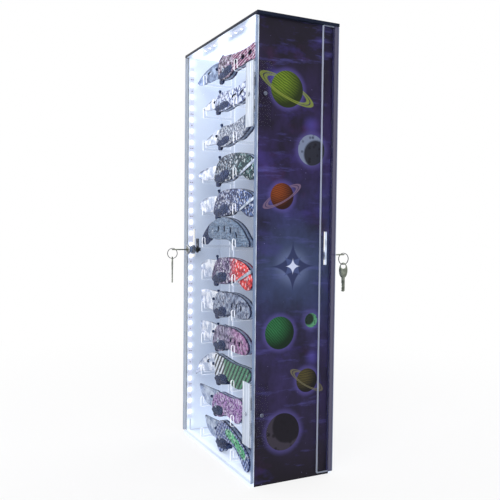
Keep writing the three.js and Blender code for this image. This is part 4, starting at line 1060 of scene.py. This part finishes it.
SWEPT = (
    (-0.03, 0.1), (0, 0.5), (0.06, 0.86), (0.15, 1.02), (0.3, 1.04), (0.5, 1.1), (0.72, 1.34), (0.92, 1.5),
    (1, 1.4), (0.98, 0.95), (0.9, 0.55), (0.8, 0.3), (0.68, 0.06), (0.55, 0), (0.45, -0.04), (0.36, -0.18),
    (0.08, -0.22), (0, -0.05),
)
ARCHED = (
    (-0.03, 0.12), (0, 0.42), (0.05, 0.78), (0.13, 1.02), (0.28, 1.15), (0.5, 1.17), (0.7, 1.08),
    (0.86, 0.88), (0.97, 0.52), (1, 0.2), (0.96, -0.14), (0.88, -0.28), (0.78, -0.2), (0.68, 0), (0.58, 0.03),
    (0.46, -0.02), (0.4, -0.14), (0.3, -0.2), (0.05, -0.2), (-0.03, -0.06),
)
STEPPED = (
    (-0.04, 0.3), (0, 0.66), (0.05, 0.96), (0.15, 1.18), (0.3, 1.2), (0.5, 1.26), (0.75, 1.16), (0.92, 0.9),
    (1, 0.58), (0.98, 0.24), (0.9, 0.08), (0.75, 0.02), (0.6, 0), (0.42, 0.04), (0.32, -0.06), (0.24, -0.22),
    (0.05, -0.2), (-0.04, 0.02),
)
FAN = (
    (-0.02, 0.3), (-0.03, 0.62), (0.1, 0.86), (0.26, 0.99), (0.42, 1), (0.6, 0.92), (0.78, 0.72), (0.92, 0.4),
    (1, 0.08), (0.95, 0.02), (0.86, 0.04), (0.76, 0), (0.64, 0.03), (0.52, 0.2), (0.38, 0.24), (0.24, 0.22),
    (0.1, 0.24),
)
HOOKED = (
    (-0.02, 0.6), (0, 1.24), (0.14, 1.3), (0.34, 1.24), (0.55, 1.2), (0.78, 1.24), (0.97, 1.16), (1, 0.9),
    (0.94, 0.62), (0.84, 0.4), (0.74, 0.1), (0.62, 0), (0.5, 0.02), (0.38, 0.2), (0.22, 0.26), (0.1, 0.12),
    (0.02, 0.02),
)
PALM = (
    (-0.02, 0.2), (0.02, 0.6), (0.1, 0.9), (0.2, 1.08), (0.4, 1.14), (0.7, 1.2), (0.92, 1.32), (1, 1.1),
    (0.98, 0.5), (0.9, 0.14), (0.78, 0), (0.66, 0.04), (0.5, 0.1), (0.38, 0.02), (0.3, -0.16), (0.08, -0.2),
    (0, 0),
)
ARCH = (
    (-0.03, 0.3), (0, 0.7), (0.06, 1.05), (0.14, 1.26), (0.3, 1.28), (0.5, 1.16), (0.72, 0.92), (0.9, 0.62),
    (1, 0.3), (0.99, -0.3), (0.93, -0.46), (0.84, -0.3), (0.72, 0.02), (0.58, 0.3), (0.42, 0.36), (0.28, 0.1),
    (0.2, -0.34), (0.1, -0.42), (0, 0.1),
)
BOLSTER = (
    (-0.03, -0.06), (0.02, 0.14), (0.12, 0.3), (0.24, 0.42), (0.34, 0.4), (0.38, 0.2), (0.34, -0.06),
    (0.22, -0.18), (0.06, -0.24),
)
TAB = ((0, 0.1), (0.08, 0.1), (0.06, -0.36), (0.02, -0.42), (-0.03, -0.36), (-0.03, -0.1))

knife_low, knife_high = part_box("front_knife_01_crimson")
KNIFE_Y = (knife_low.y + knife_high.y) / 2
WALL_INNER = -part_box("front_lock_side_lamp_strip")[0].x
BLADE_THICKNESS_MM = 2.8
SCALE_THICKNESS_MM = 3.0
LINER_THICKNESS_MM = 2.9
BOLSTER_THICKNESS_MM = 9.8
INLAY_THICKNESS_MM = 9.3
BLADE_STATIONS = 26
TIP_CROWDING = 1.5
PLUNGE_START = 0.84
PLUNGE_LENGTH = 0.08
SWEDGE_START = 0.5
SWEDGE_LENGTH = 0.25
KEEN_MM = 0.3
SHOULDER_MM = 0.55
LIP_MM = 0.9
OVAL_POINTS = 8
CLIP_STATIONS = 12
SCALE_EASE_MM = 0.8
LINER_EASE_MM = 0.15
LINER_INSET_MM = 0.3
BOLSTER_EASE_MM = 1.0
BOLSTER_ROOM_MM = 0.3
TAB_EASE_MM = 0.3
INLAY_EASE_MM = 0.4
SCREW_PROUD_MM = 0.05
NOTCH_RADIUS_MM = 1.1
NOTCH_REACH_MM = 12
SERRATION_RADIUS_MM = 1.2
WINDOW_REACH_MM = 6
WINDOW_EASE_MM = 0.1


# Figures of the handles: each takes a place in the handle's plane and gives a share from dark to light
def ridges(tree, at):
    """Machined ridges that run along the handle, rising a little."""
    leant = add(tree, "VectorRotate", {"Vector": at, "Angle": math.radians(14)}, rotation_type="Y_AXIS")
    ribs = {"Vector": leant, "Scale": bands(3.6), "Distortion": 0.8}
    wave = add(tree, "TexWave", ribs, bands_direction="Z").outputs["Fac"]
    return add(tree, "MapRange", (wave, 0.35, 0.8))


def pockets(tree, at):
    """Milled pockets: dark cells between narrow bright lands."""
    cells = add(tree, "TexVoronoi", {"Vector": at, "Scale": per(5.5)}, feature="DISTANCE_TO_EDGE")
    return add(tree, "MapRange", (cells, 0.16, 0.05))


def scrolls(tree, at):
    """Engraved loops of dark line on bright metal."""
    wander = add(tree, "TexNoise", {"Vector": at, "Scale": per(14), "Detail": 2.0}).outputs["Color"]
    wander = add(tree, "VectorMath", (wander, (0.5, 0.5, 0.5)), operation="SUBTRACT")
    wander = add(tree, "VectorMath", {"Vector": wander, "Scale": 8 * MM}, operation="SCALE")
    bent = add(tree, "VectorMath", (at, wander), operation="ADD")
    cells = add(tree, "TexVoronoi", {"Vector": bent, "Scale": per(7.5)}, feature="DISTANCE_TO_EDGE")
    return add(tree, "MapRange", (cells, 0.04, 0.14))


def speckle(tree, at):
    """Chips of light and dark in a resin."""
    glint_cells = add(tree, "TexNoise", {"Vector": at, "Scale": per(3.2), "Detail": 3.0, "Roughness": 0.7})
    return add(tree, "MapRange", (glint_cells, 0.45, 0.55))


def fine_scales(tree, at):
    """Small overlapping scales, cut by a ball-ended tool, each painted with a highlight of its own, brightest
    at its middle.
    """
    cells = add(tree, "TexVoronoi", {"Vector": at, "Scale": per(3.0)}).outputs
    own = add(tree, "SeparateXYZ", (cells["Color"],)).outputs["X"]
    dome = add(tree, "MapRange", (cells["Distance"], 0.62, 0.22))
    return add(tree, "MapRange", (add(tree, "Math", (own, dome), operation="MULTIPLY"), 0.08, 0.62))


def stripes(tree, at):
    """Slanted stripes of two colours."""
    leant = add(tree, "VectorRotate", {"Vector": at, "Angle": math.radians(-38)}, rotation_type="Y_AXIS")
    wave = add(tree, "TexWave", {"Vector": leant, "Scale": bands(7.5)}, bands_direction="X").outputs["Fac"]
    return add(tree, "MapRange", (wave, 0.42, 0.58))


def net(tree, at):
    """An open net of bright lines."""
    cells = add(tree, "TexVoronoi", {"Vector": at, "Scale": per(4.6)}, feature="DISTANCE_TO_EDGE")
    return add(tree, "MapRange", (cells, 0.22, 0.05))


def lozenges(tree, at):
    """Rows of small lozenges between crossing grooves."""
    share = None
    for lean in (38, -38):
        leant = add(tree, "VectorRotate", {"Vector": at, "Angle": math.radians(lean)}, rotation_type="Y_AXIS")
        grooves = {"Vector": leant, "Scale": bands(5.5)}
        wave = add(tree, "TexWave", grooves, bands_direction="X").outputs["Fac"]
        share = add(tree, "Math", (share, wave), operation="MINIMUM") if share else wave
    return add(tree, "MapRange", (share, 0.1, 0.45))


def mottle(tree, at):
    """Soft marbled blots."""
    blots = add(tree, "TexNoise", {"Vector": at, "Scale": per(6), "Detail": 4.0, "Roughness": 0.65})
    return add(tree, "MapRange", (blots, 0.40, 0.58))


def brushed(tree, at):
    """Brushing along the handle, with duller and brighter passes."""
    drawn = add(tree, "Mapping", {"Vector": at, "Scale": (per(14), per(1), per(1.4))})
    grain = add(tree, "TexNoise", {"Vector": drawn, "Scale": 1.0, "Detail": 3.0})
    return add(tree, "MapRange", (grain, 0.32, 0.66))


# GLINT is the colour of the painted glints; the dark below it is for tool marks and for the painted shade on
# chamfers.
GLINT = "eef2ff"
TOOL_MARK_AND_SHADE = "1a2142"


def handle_finish(name, dark, light, pattern, after=None, metallic=0.7, glints=0.5):
    """Anodised metal or resin in two tones, with painted shade on its chamfers, painted glints and dark tool
    marks.

    after gives a second look past a place: its start and its softness in mm, its two tones and its figure.
    """
    material, tree = new_material("handle_" + name)
    coordinates = add(tree, "TexCoord").outputs
    axes = add(tree, "SeparateXYZ", (coordinates["Object"],)).outputs
    x = front_x(tree, axes)
    at = add(tree, "CombineXYZ", {"X": x, "Z": axes["Z"]})
    share = pattern(tree, at)
    colour = add(tree, "Mix", (share, linear(dark), linear(light)), data_type="RGBA")
    if after:
        start_mm, soft_mm, other_dark, other_light, other_pattern = after
        other = other_pattern(tree, at)
        tones = add(tree, "Mix", (other, linear(other_dark), linear(other_light)), data_type="RGBA")
        past = add(tree, "MapRange", (x, (start_mm - soft_mm) * MM, (start_mm + soft_mm) * MM))
        colour = add(tree, "Mix", (past, colour, tones), data_type="RGBA")
    marks = add(tree, "TexNoise", {"Vector": at, "Scale": per(5), "Detail": 3.0, "Roughness": 0.7})
    marks = add(tree, "MapRange", (marks, 0.46, 0.34))
    colour = add(tree, "Mix", (marks, colour, linear(TOOL_MARK_AND_SHADE)), data_type="RGBA")
    # Painted highlights: glints on a few random cells.
    glint_cells = add(tree, "TexVoronoi", {"Vector": at, "Scale": per(2.4)}).outputs
    own = add(tree, "SeparateXYZ", (glint_cells["Color"],)).outputs["Y"]
    lit = add(tree, "MapRange", (own, 0.82, 0.9, 0.0, glints))
    colour = add(tree, "Mix", (lit, colour, linear(GLINT)), data_type="RGBA")
    # Painted shade: faces that turn away from the handle's flat sides get darker.
    flat = folded(tree, coordinates["Normal"])["Y"]
    turned_face_shade = add(tree, "MapRange", (flat, 0.92, 0.55, 0.0, 0.85))
    colour = add(tree, "Mix", (turned_face_shade, colour, linear(TOOL_MARK_AND_SHADE)), data_type="RGBA")
    look = {"Base Color": colour, "Metallic": metallic}
    look["Roughness"] = add(tree, "MapRange", (share, 0.0, 1.0, 0.5, 0.3))
    look["Normal"] = add(tree, "Bump", {"Height": share, "Strength": 1.0, "Distance": 0.35 * MM})
    add(tree, "OutputMaterial", {"Surface": add(tree, "BsdfPrincipled", look)})
    return material


def outlined_blade(name, light, mid, dark):
    """Blade steel ground pale on its flats, with painted reflections of the lights about it in clouds, and
    painted shade along its two edges.
    """
    material, tree = new_material(name)
    coordinates = add(tree, "TexCoord").outputs
    place = coordinates["Object"]
    up = add(tree, "SeparateXYZ", (coordinates["Normal"],)).outputs["Z"]
    drawn = add(tree, "Mapping", {"Vector": place, "Scale": (per(15), per(0.5), per(0.5))})
    grain = add(tree, "TexNoise", {"Vector": drawn, "Scale": 1.0, "Detail": 2.0})
    reflected_lights = add(tree, "TexNoise", {"Vector": place, "Scale": per(9), "Detail": 3.0, "Roughness": 0.6})
    reflected_lights = add(tree, "MapRange", (reflected_lights, 0.42, 0.6))
    pale = add(tree, "Mix", (reflected_lights, linear(light), linear(mid)), data_type="RGBA")
    # Painted shade: faces that turn up to the spine or down to the edge are dark.
    spine = add(tree, "MapRange", (up, 0.16, 0.30))
    edge = add(tree, "MapRange", (up, -0.26, -0.36))
    turned_face_shade = add(tree, "Math", (spine, edge), operation="MAXIMUM")
    look = {"Base Color": add(tree, "Mix", (turned_face_shade, pale, linear(dark)), data_type="RGBA"), "Metallic": 0.9}
    look["Roughness"] = add(tree, "MapRange", (grain, 0.3, 0.7, 0.26, 0.42))
    look["Normal"] = add(tree, "Bump", {"Height": grain, "Strength": 1.0, "Distance": 0.02 * MM})
    add(tree, "OutputMaterial", {"Surface": add(tree, "BsdfPrincipled", look)})
    return material


# Blade steels, ground pale or coated, each with painted shade along its spine and edge
BRIGHT = outlined_blade("satin_ground_blade_steel", "eef2fc", "aab7d2", "2b3550")
GREY = outlined_blade("bead_blasted_blade_steel", "c2cee2", "7f90b2", "2b3550")
COATED = outlined_blade("titanium_coated_blade_steel", "93a6c6", "4a5d82", "232c46")


# Each knife, top row first. The ends are tip, pivot and butt, as shares of half the inside width. The rises
# are those of blade and handle, as shares of the row pitch. Holes and windows are ovals: along, up, half
# length in mm, half height in mm and lean in degrees. Screws are along, up and radius in mm. Notches and
# serrations are start, end and count. A finish is dark tone, light tone and figure.
ARCHED_KNIFE = {
    "blade": DROP, "handle": ARCHED, "steel": BRIGHT, "clip": True, "peg": True,
    "screws": ((0.12, 0.28, 3.0), (0.9, 0.3, 1.6)),
}
STEPPED_KNIFE = {
    "blade": TANTO, "handle": STEPPED, "steel": BRIGHT, "peg": True, "glints": 0.3, "notches": (0.2, 0.7, 12),
    "holes": ((0.52, 0.6, 3.6, 1.9, 70), (0.64, 0.58, 3.6, 1.9, 70), (0.76, 0.54, 3.6, 1.9, 70)),
    "screws": ((0.13, 0.3, 3.2), (0.92, 0.46, 1.6)),
}
KNIVES = (
    {
        "name": "crimson", "blade": SPEAR, "handle": BAR, "steel": COATED, "peg": True,
        "ends": (-0.962, -0.174, 0.889), "rises": (0.44, 0.5), "windows": ((0.55, 0.66, 7.5, 2.0, 2),),
        "holes": ((0.46, 0.46, 5.2, 2.9, 0), (0.64, 0.46, 5.2, 2.9, 0), (0.82, 0.5, 5.2, 2.9, 0)),
        "screws": ((0.12, 0.3, 3.0), (0.93, 0.55, 1.6)), "finish": ("2b1531", "94809f", pockets),
        "after": (26, 2, "43183b", "b887aa", ridges),
    },
    {
        "name": "slate", "blade": NEEDLE, "handle": SWEPT, "steel": BRIGHT, "peg": True,
        "ends": (-0.77, -0.275, 0.825), "rises": (0.3, 0.42), "tilt": -4,
        "holes": ((0.5, 0.62, 7, 1.6, 8), (0.68, 0.74, 6, 1.7, 20), (0.84, 0.98, 5, 1.8, 24)),
        "screws": ((0.12, 0.3, 2.8), (0.94, 1.14, 1.5)), "finish": ("3a4c84", "c6d2ef", scrolls),
    },
    {
        "name": "pewter", "blade": NEEDLE, "handle": SWEPT, "steel": BRIGHT, "peg": True,
        "ends": (-0.733, -0.2, 0.77), "rises": (0.36, 0.46), "tilt": -2,
        "screws": ((0.12, 0.3, 2.8), (0.6, 0.72, 1.5), (0.9, 1.0, 1.5)),
        "finish": ("2b3b62", "c6d2e8", speckle), "after": (61, 1.0, "223052", "5b6f92", brushed),
    },
    {
        **ARCHED_KNIFE, "name": "moss", "ends": (-0.893, -0.254, 0.889), "rises": (0.38, 0.56),
        "finish": ("1c2b42", "9db0c8", fine_scales), "after": (38, 22, "12303a", "5e8a8c", fine_scales),
    },
    {
        **ARCHED_KNIFE, "name": "cobalt", "ends": (-0.856, -0.265, 0.889), "rises": (0.46, 0.56),
        "finish": ("222c58", "a0aed4", fine_scales), "after": (38, 22, "1a2f5c", "7490cc", fine_scales),
    },
    {
        "name": "fan", "blade": FANNED, "handle": FAN, "steel": BLACK_OXIDE, "plain": True, "glints": 0.15,
        "ends": (-0.77, -0.42, 0.724), "rises": (0.68, 0.84),
        "holes": (
            (0.24, 0.58, 4.6, 1.6, 62), (0.4, 0.60, 4.6, 1.6, 82),
            (0.56, 0.54, 4.6, 1.6, 104), (0.7, 0.4, 4.6, 1.6, 122),
        ),
        "screws": ((0.08, 0.48, 3.0), (0.32, 0.36, 1.5), (0.64, 0.28, 1.5), (0.92, 0.16, 1.5)),
        "finish": ("3a4d68", "7089a8", brushed),
    },
    {
        **ARCHED_KNIFE, "name": "scarlet", "ends": (-0.79, -0.3, 0.825), "rises": (0.52, 0.58),
        "finish": ("382c58", "aa9cc2", fine_scales), "after": (32, 12, "8a1428", "f24c4a", mottle),
    },
    {
        **STEPPED_KNIFE, "name": "steel", "ends": (-0.763, -0.25, 0.77), "rises": (0.54, 0.54),
        "finish": ("343f60", "8c9ab6", mottle),
    },
    {
        **STEPPED_KNIFE, "name": "mauve", "ends": (-0.763, -0.25, 0.733), "rises": (0.54, 0.54),
        "finish": ("3a3558", "9089aa", mottle), "after": (30, 14, "54305f", "ad80b0", mottle),
    },
    {
        "name": "striped", "blade": HAWK, "handle": HOOKED, "steel": BRIGHT, "serrated": (0.2, 0.62, 12),
        "ends": (-0.953, -0.2, 0.807), "rises": (0.56, 0.56), "windows": ((0.66, 0.7, 9, 2.4, 18),),
        "screws": ((0.12, 0.3, 3.0), (0.9, 0.88, 1.6)), "glints": 0.0,
        "finish": ("161a2c", "d2dbe8", stripes), "after": (8, 3, "12342f", "458c6c", stripes),
    },
    {
        "name": "magenta", "blade": BELLY, "handle": PALM, "steel": GREY,
        "ends": (-0.8, -0.28, 0.605), "rises": (0.5, 0.56),
        "screws": ((0.12, 0.3, 3.4), (0.88, 0.9, 1.6)), "finish": ("4c2a6c", "ab86c2", net),
    },
    {
        "name": "net", "blade": BELLY, "handle": ARCH, "steel": GREY,
        "ends": (-0.605, -0.15, 0.77), "rises": (0.5, 0.56),
        "screws": ((0.12, 0.3, 3.0), (0.96, -0.2, 1.6)), "finish": ("2b3b70", "8a9ccc", lozenges),
        "inlay": (
            (0.30, 0.83), (0.40, 1.08), (0.55, 0.98), (0.75, 0.74), (0.90, 0.45), (0.93, 0.22), (0.86, 0.06),
            (0.74, 0.22), (0.55, 0.5), (0.40, 0.58),
        ),
        "inlay_finish": ("17584a", "62c48c", net),
    },
)
ROW_PITCH_MM = 45.4
CLIP_ENDS = ((0.64, 0.06), (0.98, 0.66))
STUD_PLACE = (0.86, 0.66)
PEG_PLACE = (0.05, 1.02)


def follow(chain, share):
    """The height of a smooth line through a chain of points, at a share of its length."""
    rises = [(b[1] - a[1]) / (b[0] - a[0]) for a, b in zip(chain, chain[1:])]
    slopes = [rises[0]]
    for before, after in zip(rises, rises[1:]):
        slopes.append(2 * before * after / (before + after) if before * after > 0 else 0.0)
    slopes.append(rises[-1])
    i = 0
    while i < len(chain) - 2 and share > chain[i + 1][0]:
        i += 1
    (x0, z0), (x1, z1) = chain[i], chain[i + 1]
    span = x1 - x0
    t = (share - x0) / span
    ends = (2 * t**3 - 3 * t**2 + 1) * z0 + (3 * t**2 - 2 * t**3) * z1
    return ends + span * ((t**3 - 2 * t**2 + t) * slopes[i] + (t**3 - t**2) * slopes[i + 1])


def lofted(rings):
    """A closed skin over rings of points, each ring with as many points as the next."""
    around = len(rings[0])
    bm = bmesh.new()
    bmesh.ops.create_grid(bm, x_segments=around, y_segments=len(rings) - 1, size=1)
    bm.verts.ensure_lookup_table()
    for index, vert in enumerate(bm.verts):
        row, column = divmod(index, around + 1)
        vert.co = rings[row][column % around]
    bmesh.ops.remove_doubles(bm, verts=bm.verts, dist=LOFT_WELD)
    bmesh.ops.holes_fill(bm, edges=[edge for edge in bm.edges if edge.is_boundary], sides=0)
    return bm


def oval(centre, half_length_mm, half_height_mm, lean):
    """Points round an oval, in metres."""
    turn = math.radians(lean)
    points = []
    for i in range(OVAL_POINTS):
        angle = 2 * math.pi * i / OVAL_POINTS
        along, up = half_length_mm * MM * math.cos(angle), half_height_mm * MM * math.sin(angle)
        x = centre[0] + along * math.cos(turn) - up * math.sin(turn)
        points.append((x, centre[1] + along * math.sin(turn) + up * math.cos(turn)))
    return points


def blade_skin(blade, rise_mm, at):
    """A blade ground from its spine to its edge, thinner towards the tip, with a plunge before the pivot."""
    spine, edge = blade
    first, last = spine[0][0], spine[-1][0]
    rings = []
    for step in range(BLADE_STATIONS + 1):
        share = first + (last - first) * (step / BLADE_STATIONS) ** TIP_CROWDING
        high, low = follow(spine, share), follow(edge, share)
        tall = (high - low) * rise_mm
        ricasso = min(1.0, max(0.0, (share - PLUNGE_START) / PLUNGE_LENGTH))
        full = min(BLADE_THICKNESS_MM * (0.7 + 0.3 * min(1.0, share / 0.5)), KEEN_MM + 0.9 * tall)
        keen = KEEN_MM + (full - KEEN_MM) * ricasso
        shoulder = min(full, keen + SHOULDER_MM * (1 - ricasso))
        swedge = full * (0.45 + 0.55 * min(1.0, max(0.0, (share - SWEDGE_START) / SWEDGE_LENGTH)))
        lip = min(LIP_MM, 0.1 * tall) / rise_mm
        half_section = (
            (keen, low), (shoulder, low + lip), (full, low + 0.58 * (high - low)),
            (full, high - 0.16 * (high - low)), (swedge, high),
        )
        ring = [(width / 2, level) for width, level in half_section]
        ring += [(-width / 2, level) for width, level in reversed(half_section)]
        places = [(at((share, level)), width) for width, level in ring]
        rings.append([(x, KNIFE_Y + width * MM, z) for (x, z), width in places])
    return lofted(rings)


def through_screw(place, radius_mm, half_thickness_mm):
    """A screw with a button head on each face and a round recess in each head."""
    face, wide = half_thickness_mm, radius_mm
    head = [(-face + 0.7, 0), (-face + 0.7, 0.42 * wide), (-face, 0.48 * wide), (-face, 0.86 * wide)]
    head += [(-face + 0.25, wide), (-face + 1.4, wide), (-face + 1.4, 0.5 * wide)]
    profile = head + [(-along, radius) for along, radius in reversed(head)]
    return turned(profile, (place[0], KNIFE_Y, place[1]), (0, 1, 0), SMALL_SIDES)


def stud(place):
    """A grooved thumb stud through the blade."""
    half = 3.5
    profile = [(-half, 0), (-half, 1.5), (-half + 0.3, 1.9), (-half + 0.8, 1.9), (-half + 1.0, 1.5)]
    profile += [(-half + 1.2, 1.9), (-half + 1.6, 2.1), (-1.3, 2.1)]
    whole = profile + [(-along, radius) for along, radius in reversed(profile)]
    return turned(whole, (place[0], KNIFE_Y, place[1]), (0, 1, 0), SMALL_SIDES)


def peg(place):
    """An opening peg that stands up from the blade's tang, with a grooved cap."""
    profile = [(-2, 0), (-2, 1.3), (2.2, 1.3), (2.6, 1.9), (3.4, 1.9), (3.6, 1.5), (3.8, 1.9)]
    profile += [(4.6, 1.9), (5, 1.4), (5, 0)]
    return turned(profile, (place[0], KNIFE_Y, place[1]), (-0.3, 0, 1), 20)


def notch_row(points, radius_mm, across_mm):
    """Round bars across the knife at each point, to cut notches with."""
    half = across_mm / 2
    profile = [(-half, 0), (-half, radius_mm), (half, radius_mm), (half, 0)]
    return gathered([turned(profile, (x, KNIFE_Y, z), (0, 1, 0), 12) for x, z in points])


def spread(line, start, end, count):
    """Evenly spread points along a line of an outline."""
    shares = [start + (end - start) * i / (count - 1) for i in range(count)]
    return [(share, follow(line, share)) for share in shares]


def ovals(places, at):
    """The ovals that a knife names, on its blade or its handle."""
    return [oval(at((along, up)), length, height, lean) for along, up, length, height, lean in places]


def knife_parts(knife):
    """The knife's parts, as it lies in the front compartment, before it is lifted to its row."""
    tip, pivot, butt = (WALL_INNER * share for share in knife["ends"])
    blade_rise, handle_rise = (ROW_PITCH_MM * share for share in knife["rises"])
    turn = math.radians(knife.get("tilt", 0))

    def placed(start, end, rise_mm):
        """A function that finds a point's place from its shares of a length and a rise."""

        def at(point):
            x = start + (end - start) * point[0]
            z = rise_mm * MM * point[1]
            return x * math.cos(turn) - z * math.sin(turn), x * math.sin(turn) + z * math.cos(turn)

        return at

    on_blade, on_handle = placed(tip, pivot, blade_rise), placed(pivot, butt, handle_rise)
    outer = [on_handle(point) for point in knife["handle"]]
    holes = ovals(knife.get("holes", ()), on_handle)
    shift = (LINER_THICKNESS_MM + SCALE_THICKNESS_MM) / 2 * MM
    depths = (KNIFE_Y - shift, KNIFE_Y + shift)
    scales = gathered([plate(outer, holes, SCALE_THICKNESS_MM, y, SCALE_EASE_MM) for y in depths])
    if "notches" in knife:
        top = sorted(point for point in knife["handle"] if point[1] > 0.5)
        line = [on_handle(point) for point in spread(top, *knife["notches"])]
        scales = cut_away(scales, notch_row(line, NOTCH_RADIUS_MM, NOTCH_REACH_MM))
    dark, light, pattern = knife["finish"]
    metallic = 0.2 if pattern in (speckle, stripes) else 0.7
    glints = knife.get("glints", 0.5)
    look = handle_finish(knife["name"], dark, light, pattern, knife.get("after"), metallic, glints)
    skin = blade_skin(knife["blade"], blade_rise, on_blade)
    for window in ovals(knife.get("windows", ()), on_blade):
        skin = cut_away(skin, plate(window, [], WINDOW_REACH_MM, KNIFE_Y, WINDOW_EASE_MM))
    if "serrated" in knife:
        line = [on_blade(point) for point in spread(knife["blade"][0], *knife["serrated"])]
        skin = cut_away(skin, notch_row(line, SERRATION_RADIUS_MM, WINDOW_REACH_MM))
    liners = plate(outer, [], LINER_THICKNESS_MM, KNIFE_Y, LINER_EASE_MM, LINER_INSET_MM)
    parts = {"scales": (scales, look), "liners": (liners, BRUSHED), "blade": (skin, knife["steel"])}
    plain = knife.get("plain")
    if not plain:
        corners = [on_handle(point) for point in BOLSTER]
        thickness = BOLSTER_THICKNESS_MM - BOLSTER_ROOM_MM
        bolster = plate(corners, [], thickness, KNIFE_Y, BOLSTER_EASE_MM, round_corners=False)
        parts["bolster"] = (bolster, BLACK_OXIDE)
        corners = [on_handle(point) for point in TAB]
        parts["tab"] = (plate(corners, [], BLADE_THICKNESS_MM, KNIFE_Y, TAB_EASE_MM), BLACK_OXIDE)
    in_scale = SCALE_THICKNESS_MM + LINER_THICKNESS_MM / 2 + SCREW_PROUD_MM
    screws = []
    for along, up, radius in knife["screws"]:
        reach = BOLSTER_THICKNESS_MM / 2 if radius > 2 and not plain else in_scale
        screws.append(through_screw(on_handle((along, up)), radius, reach))
    parts["screws"] = (gathered(screws), BRUSHED)
    if "inlay" in knife:
        corners = [on_handle(point) for point in knife["inlay"]]
        inlay = plate(corners, [], INLAY_THICKNESS_MM, KNIFE_Y, INLAY_EASE_MM)
        parts["inlay"] = (inlay, handle_finish(knife["name"] + "_inlay", *knife["inlay_finish"]))
    if knife.get("clip"):
        parts["clip"] = (pocket_clip(on_handle), BRUSHED)
    elif not plain:
        parts["stud"] = (stud(on_blade(STUD_PLACE)), BLACK_OXIDE)
    if knife.get("peg"):
        parts["peg"] = (peg(on_handle(PEG_PLACE)), BLACK_OXIDE)
    return parts


def pocket_clip(on_handle):
    """A sprung clip along the front face: a strip that stands off the handle, with its foot at the butt."""
    (x0, z0), (x1, z1) = (on_handle(point) for point in CLIP_ENDS)
    face = KNIFE_Y - (SCALE_THICKNESS_MM + LINER_THICKNESS_MM / 2) * MM
    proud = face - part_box("front_knife_04_moss")[0].y
    rings = []
    for step in range(CLIP_STATIONS + 1):
        share = step / CLIP_STATIONS
        rise = 0.35 + 0.65 * math.sin(math.pi * min(1.0, share * 1.15)) ** 0.5 if 0 < share < 0.87 else 0.35
        half_width = (1.3 + 0.9 * min(1.0, share * 2.5)) * MM
        front = face - proud * (0.3 + 0.7 * min(1.0, rise)) + 0.05 * MM
        back = front + 0.55 * proud
        step_in = front + 0.2 * proud
        corners = ((front, -0.85), (front, 0.85), (step_in, 1), (back, 1), (back, -1), (step_in, -1))
        x, z = x0 + (x1 - x0) * share, z0 + (z1 - z0) * share
        rings.append([(x, y, z + half_width * side) for y, side in corners])
    return lofted(rings)


for row, knife in enumerate(KNIVES):
    label = f"knife_{row + 1:02d}_{knife['name']}"
    node = "front_" + label
    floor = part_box(node)[0].z
    made = knife_parts(knife)
    lift = floor - min(vert.co.z for bm, _ in made.values() for vert in bm.verts)
    slot = "knife_" + knife["name"]
    for part, (bm, material) in made.items():
        bmesh.ops.translate(bm, verts=bm.verts, vec=(0, 0, lift))
        behind = half_turn(bm.copy())
        crease = BLADE_CREASE if part == "blade" else WHOLE_CREASE
        piece(f"{node}_{part}", bm, material, "root", slot, (node,), crease)
        piece(f"rear_{label}_{part}", behind, material, "root", slot, (), crease)


# Floor, light and finish
SOFT_BOX_SIZE = 1.4
FLOOR_SIZE = 6
FLOOR_DROP_MM = 0.2
FLOOR_SHADE_REACH = (0.3, 1.0)
SURROUND_LIGHT = 0.55


def seen_straight(tree):
    """1 for a ray from the camera, a mirror or clear acrylic, and 0 for the light that falls on the case."""
    seen = add(tree, "LightPath").outputs
    straight = add(tree, "Math", (seen["Is Camera Ray"], seen["Is Glossy Ray"]), operation="MAXIMUM")
    return add(tree, "Math", (straight, seen["Is Transmission Ray"]), operation="MAXIMUM")


def pale_floor():
    """A matt white floor: what the camera sees of it is white but for the case's shadow."""
    material, tree = new_material("matt_white_floor")
    matt = add(tree, "BsdfDiffuse", {"Color": linear("f4f4f6")})
    white = add(tree, "Emission", {"Color": (1, 1, 1, 1), "Strength": 1.0})
    far = add(tree, "VectorMath", (add(tree, "TexCoord").outputs["Object"],), operation="LENGTH")
    clear = add(tree, "MapRange", (far, *FLOOR_SHADE_REACH, 0.8, 1.0), interpolation_type="SMOOTHSTEP")
    share = add(tree, "Math", (seen_straight(tree), clear), operation="MULTIPLY")
    add(tree, "OutputMaterial", {"Surface": add(tree, "MixShader", (share, matt, white))})
    return material


def set_floor():
    """A broad floor a hair below the base."""
    bm = bmesh.new()
    bmesh.ops.create_grid(bm, x_segments=1, y_segments=1, size=FLOOR_SIZE)
    bmesh.ops.translate(bm, verts=bm.verts, vec=(0, 0, -FLOOR_DROP_MM * MM))
    mesh = bpy.data.meshes.new("floor")
    bm.to_mesh(mesh)
    bm.free()
    mesh.materials.append(pale_floor())
    floor = bpy.data.objects.new("floor", mesh)
    bpy.context.scene.collection.objects.link(floor)


def set_world():
    """A white surround that lights the case at a plain level."""
    world = bpy.data.worlds.new("studio")
    bpy.context.scene.world = world
    world.use_nodes = True
    tree = world.node_tree
    tree.nodes.clear()
    strength = add(tree, "MapRange", (seen_straight(tree), 0.0, 1.0, SURROUND_LIGHT, 1.0))
    light = add(tree, "Background", {"Color": (1, 1, 1, 1), "Strength": strength})
    add(tree, "OutputWorld", {"Surface": light})


def soft_light(name, place, power):
    """A square soft box aimed at the middle of the case."""
    data = bpy.data.lights.new(name, "AREA")
    data.shape = "SQUARE"
    data.size = SOFT_BOX_SIZE
    data.energy = power
    lamp = bpy.data.objects.new(name, data)
    lamp.location = place
    aim = Vector((0, 0, CASE_TOP / 2)) - Vector(place)
    lamp.rotation_euler = aim.to_track_quat("-Z", "Y").to_euler()
    bpy.context.scene.collection.objects.link(lamp)


set_floor()
set_world()
soft_light("key_light", (1.3, -1.1, 1.5), 22)
soft_light("fill_light", (-1.3, -1.3, 1.0), 9)
soft_light("back_light", (-0.6, 1.6, 1.4), 12)
bpy.context.scene.view_settings.view_transform = "Standard"
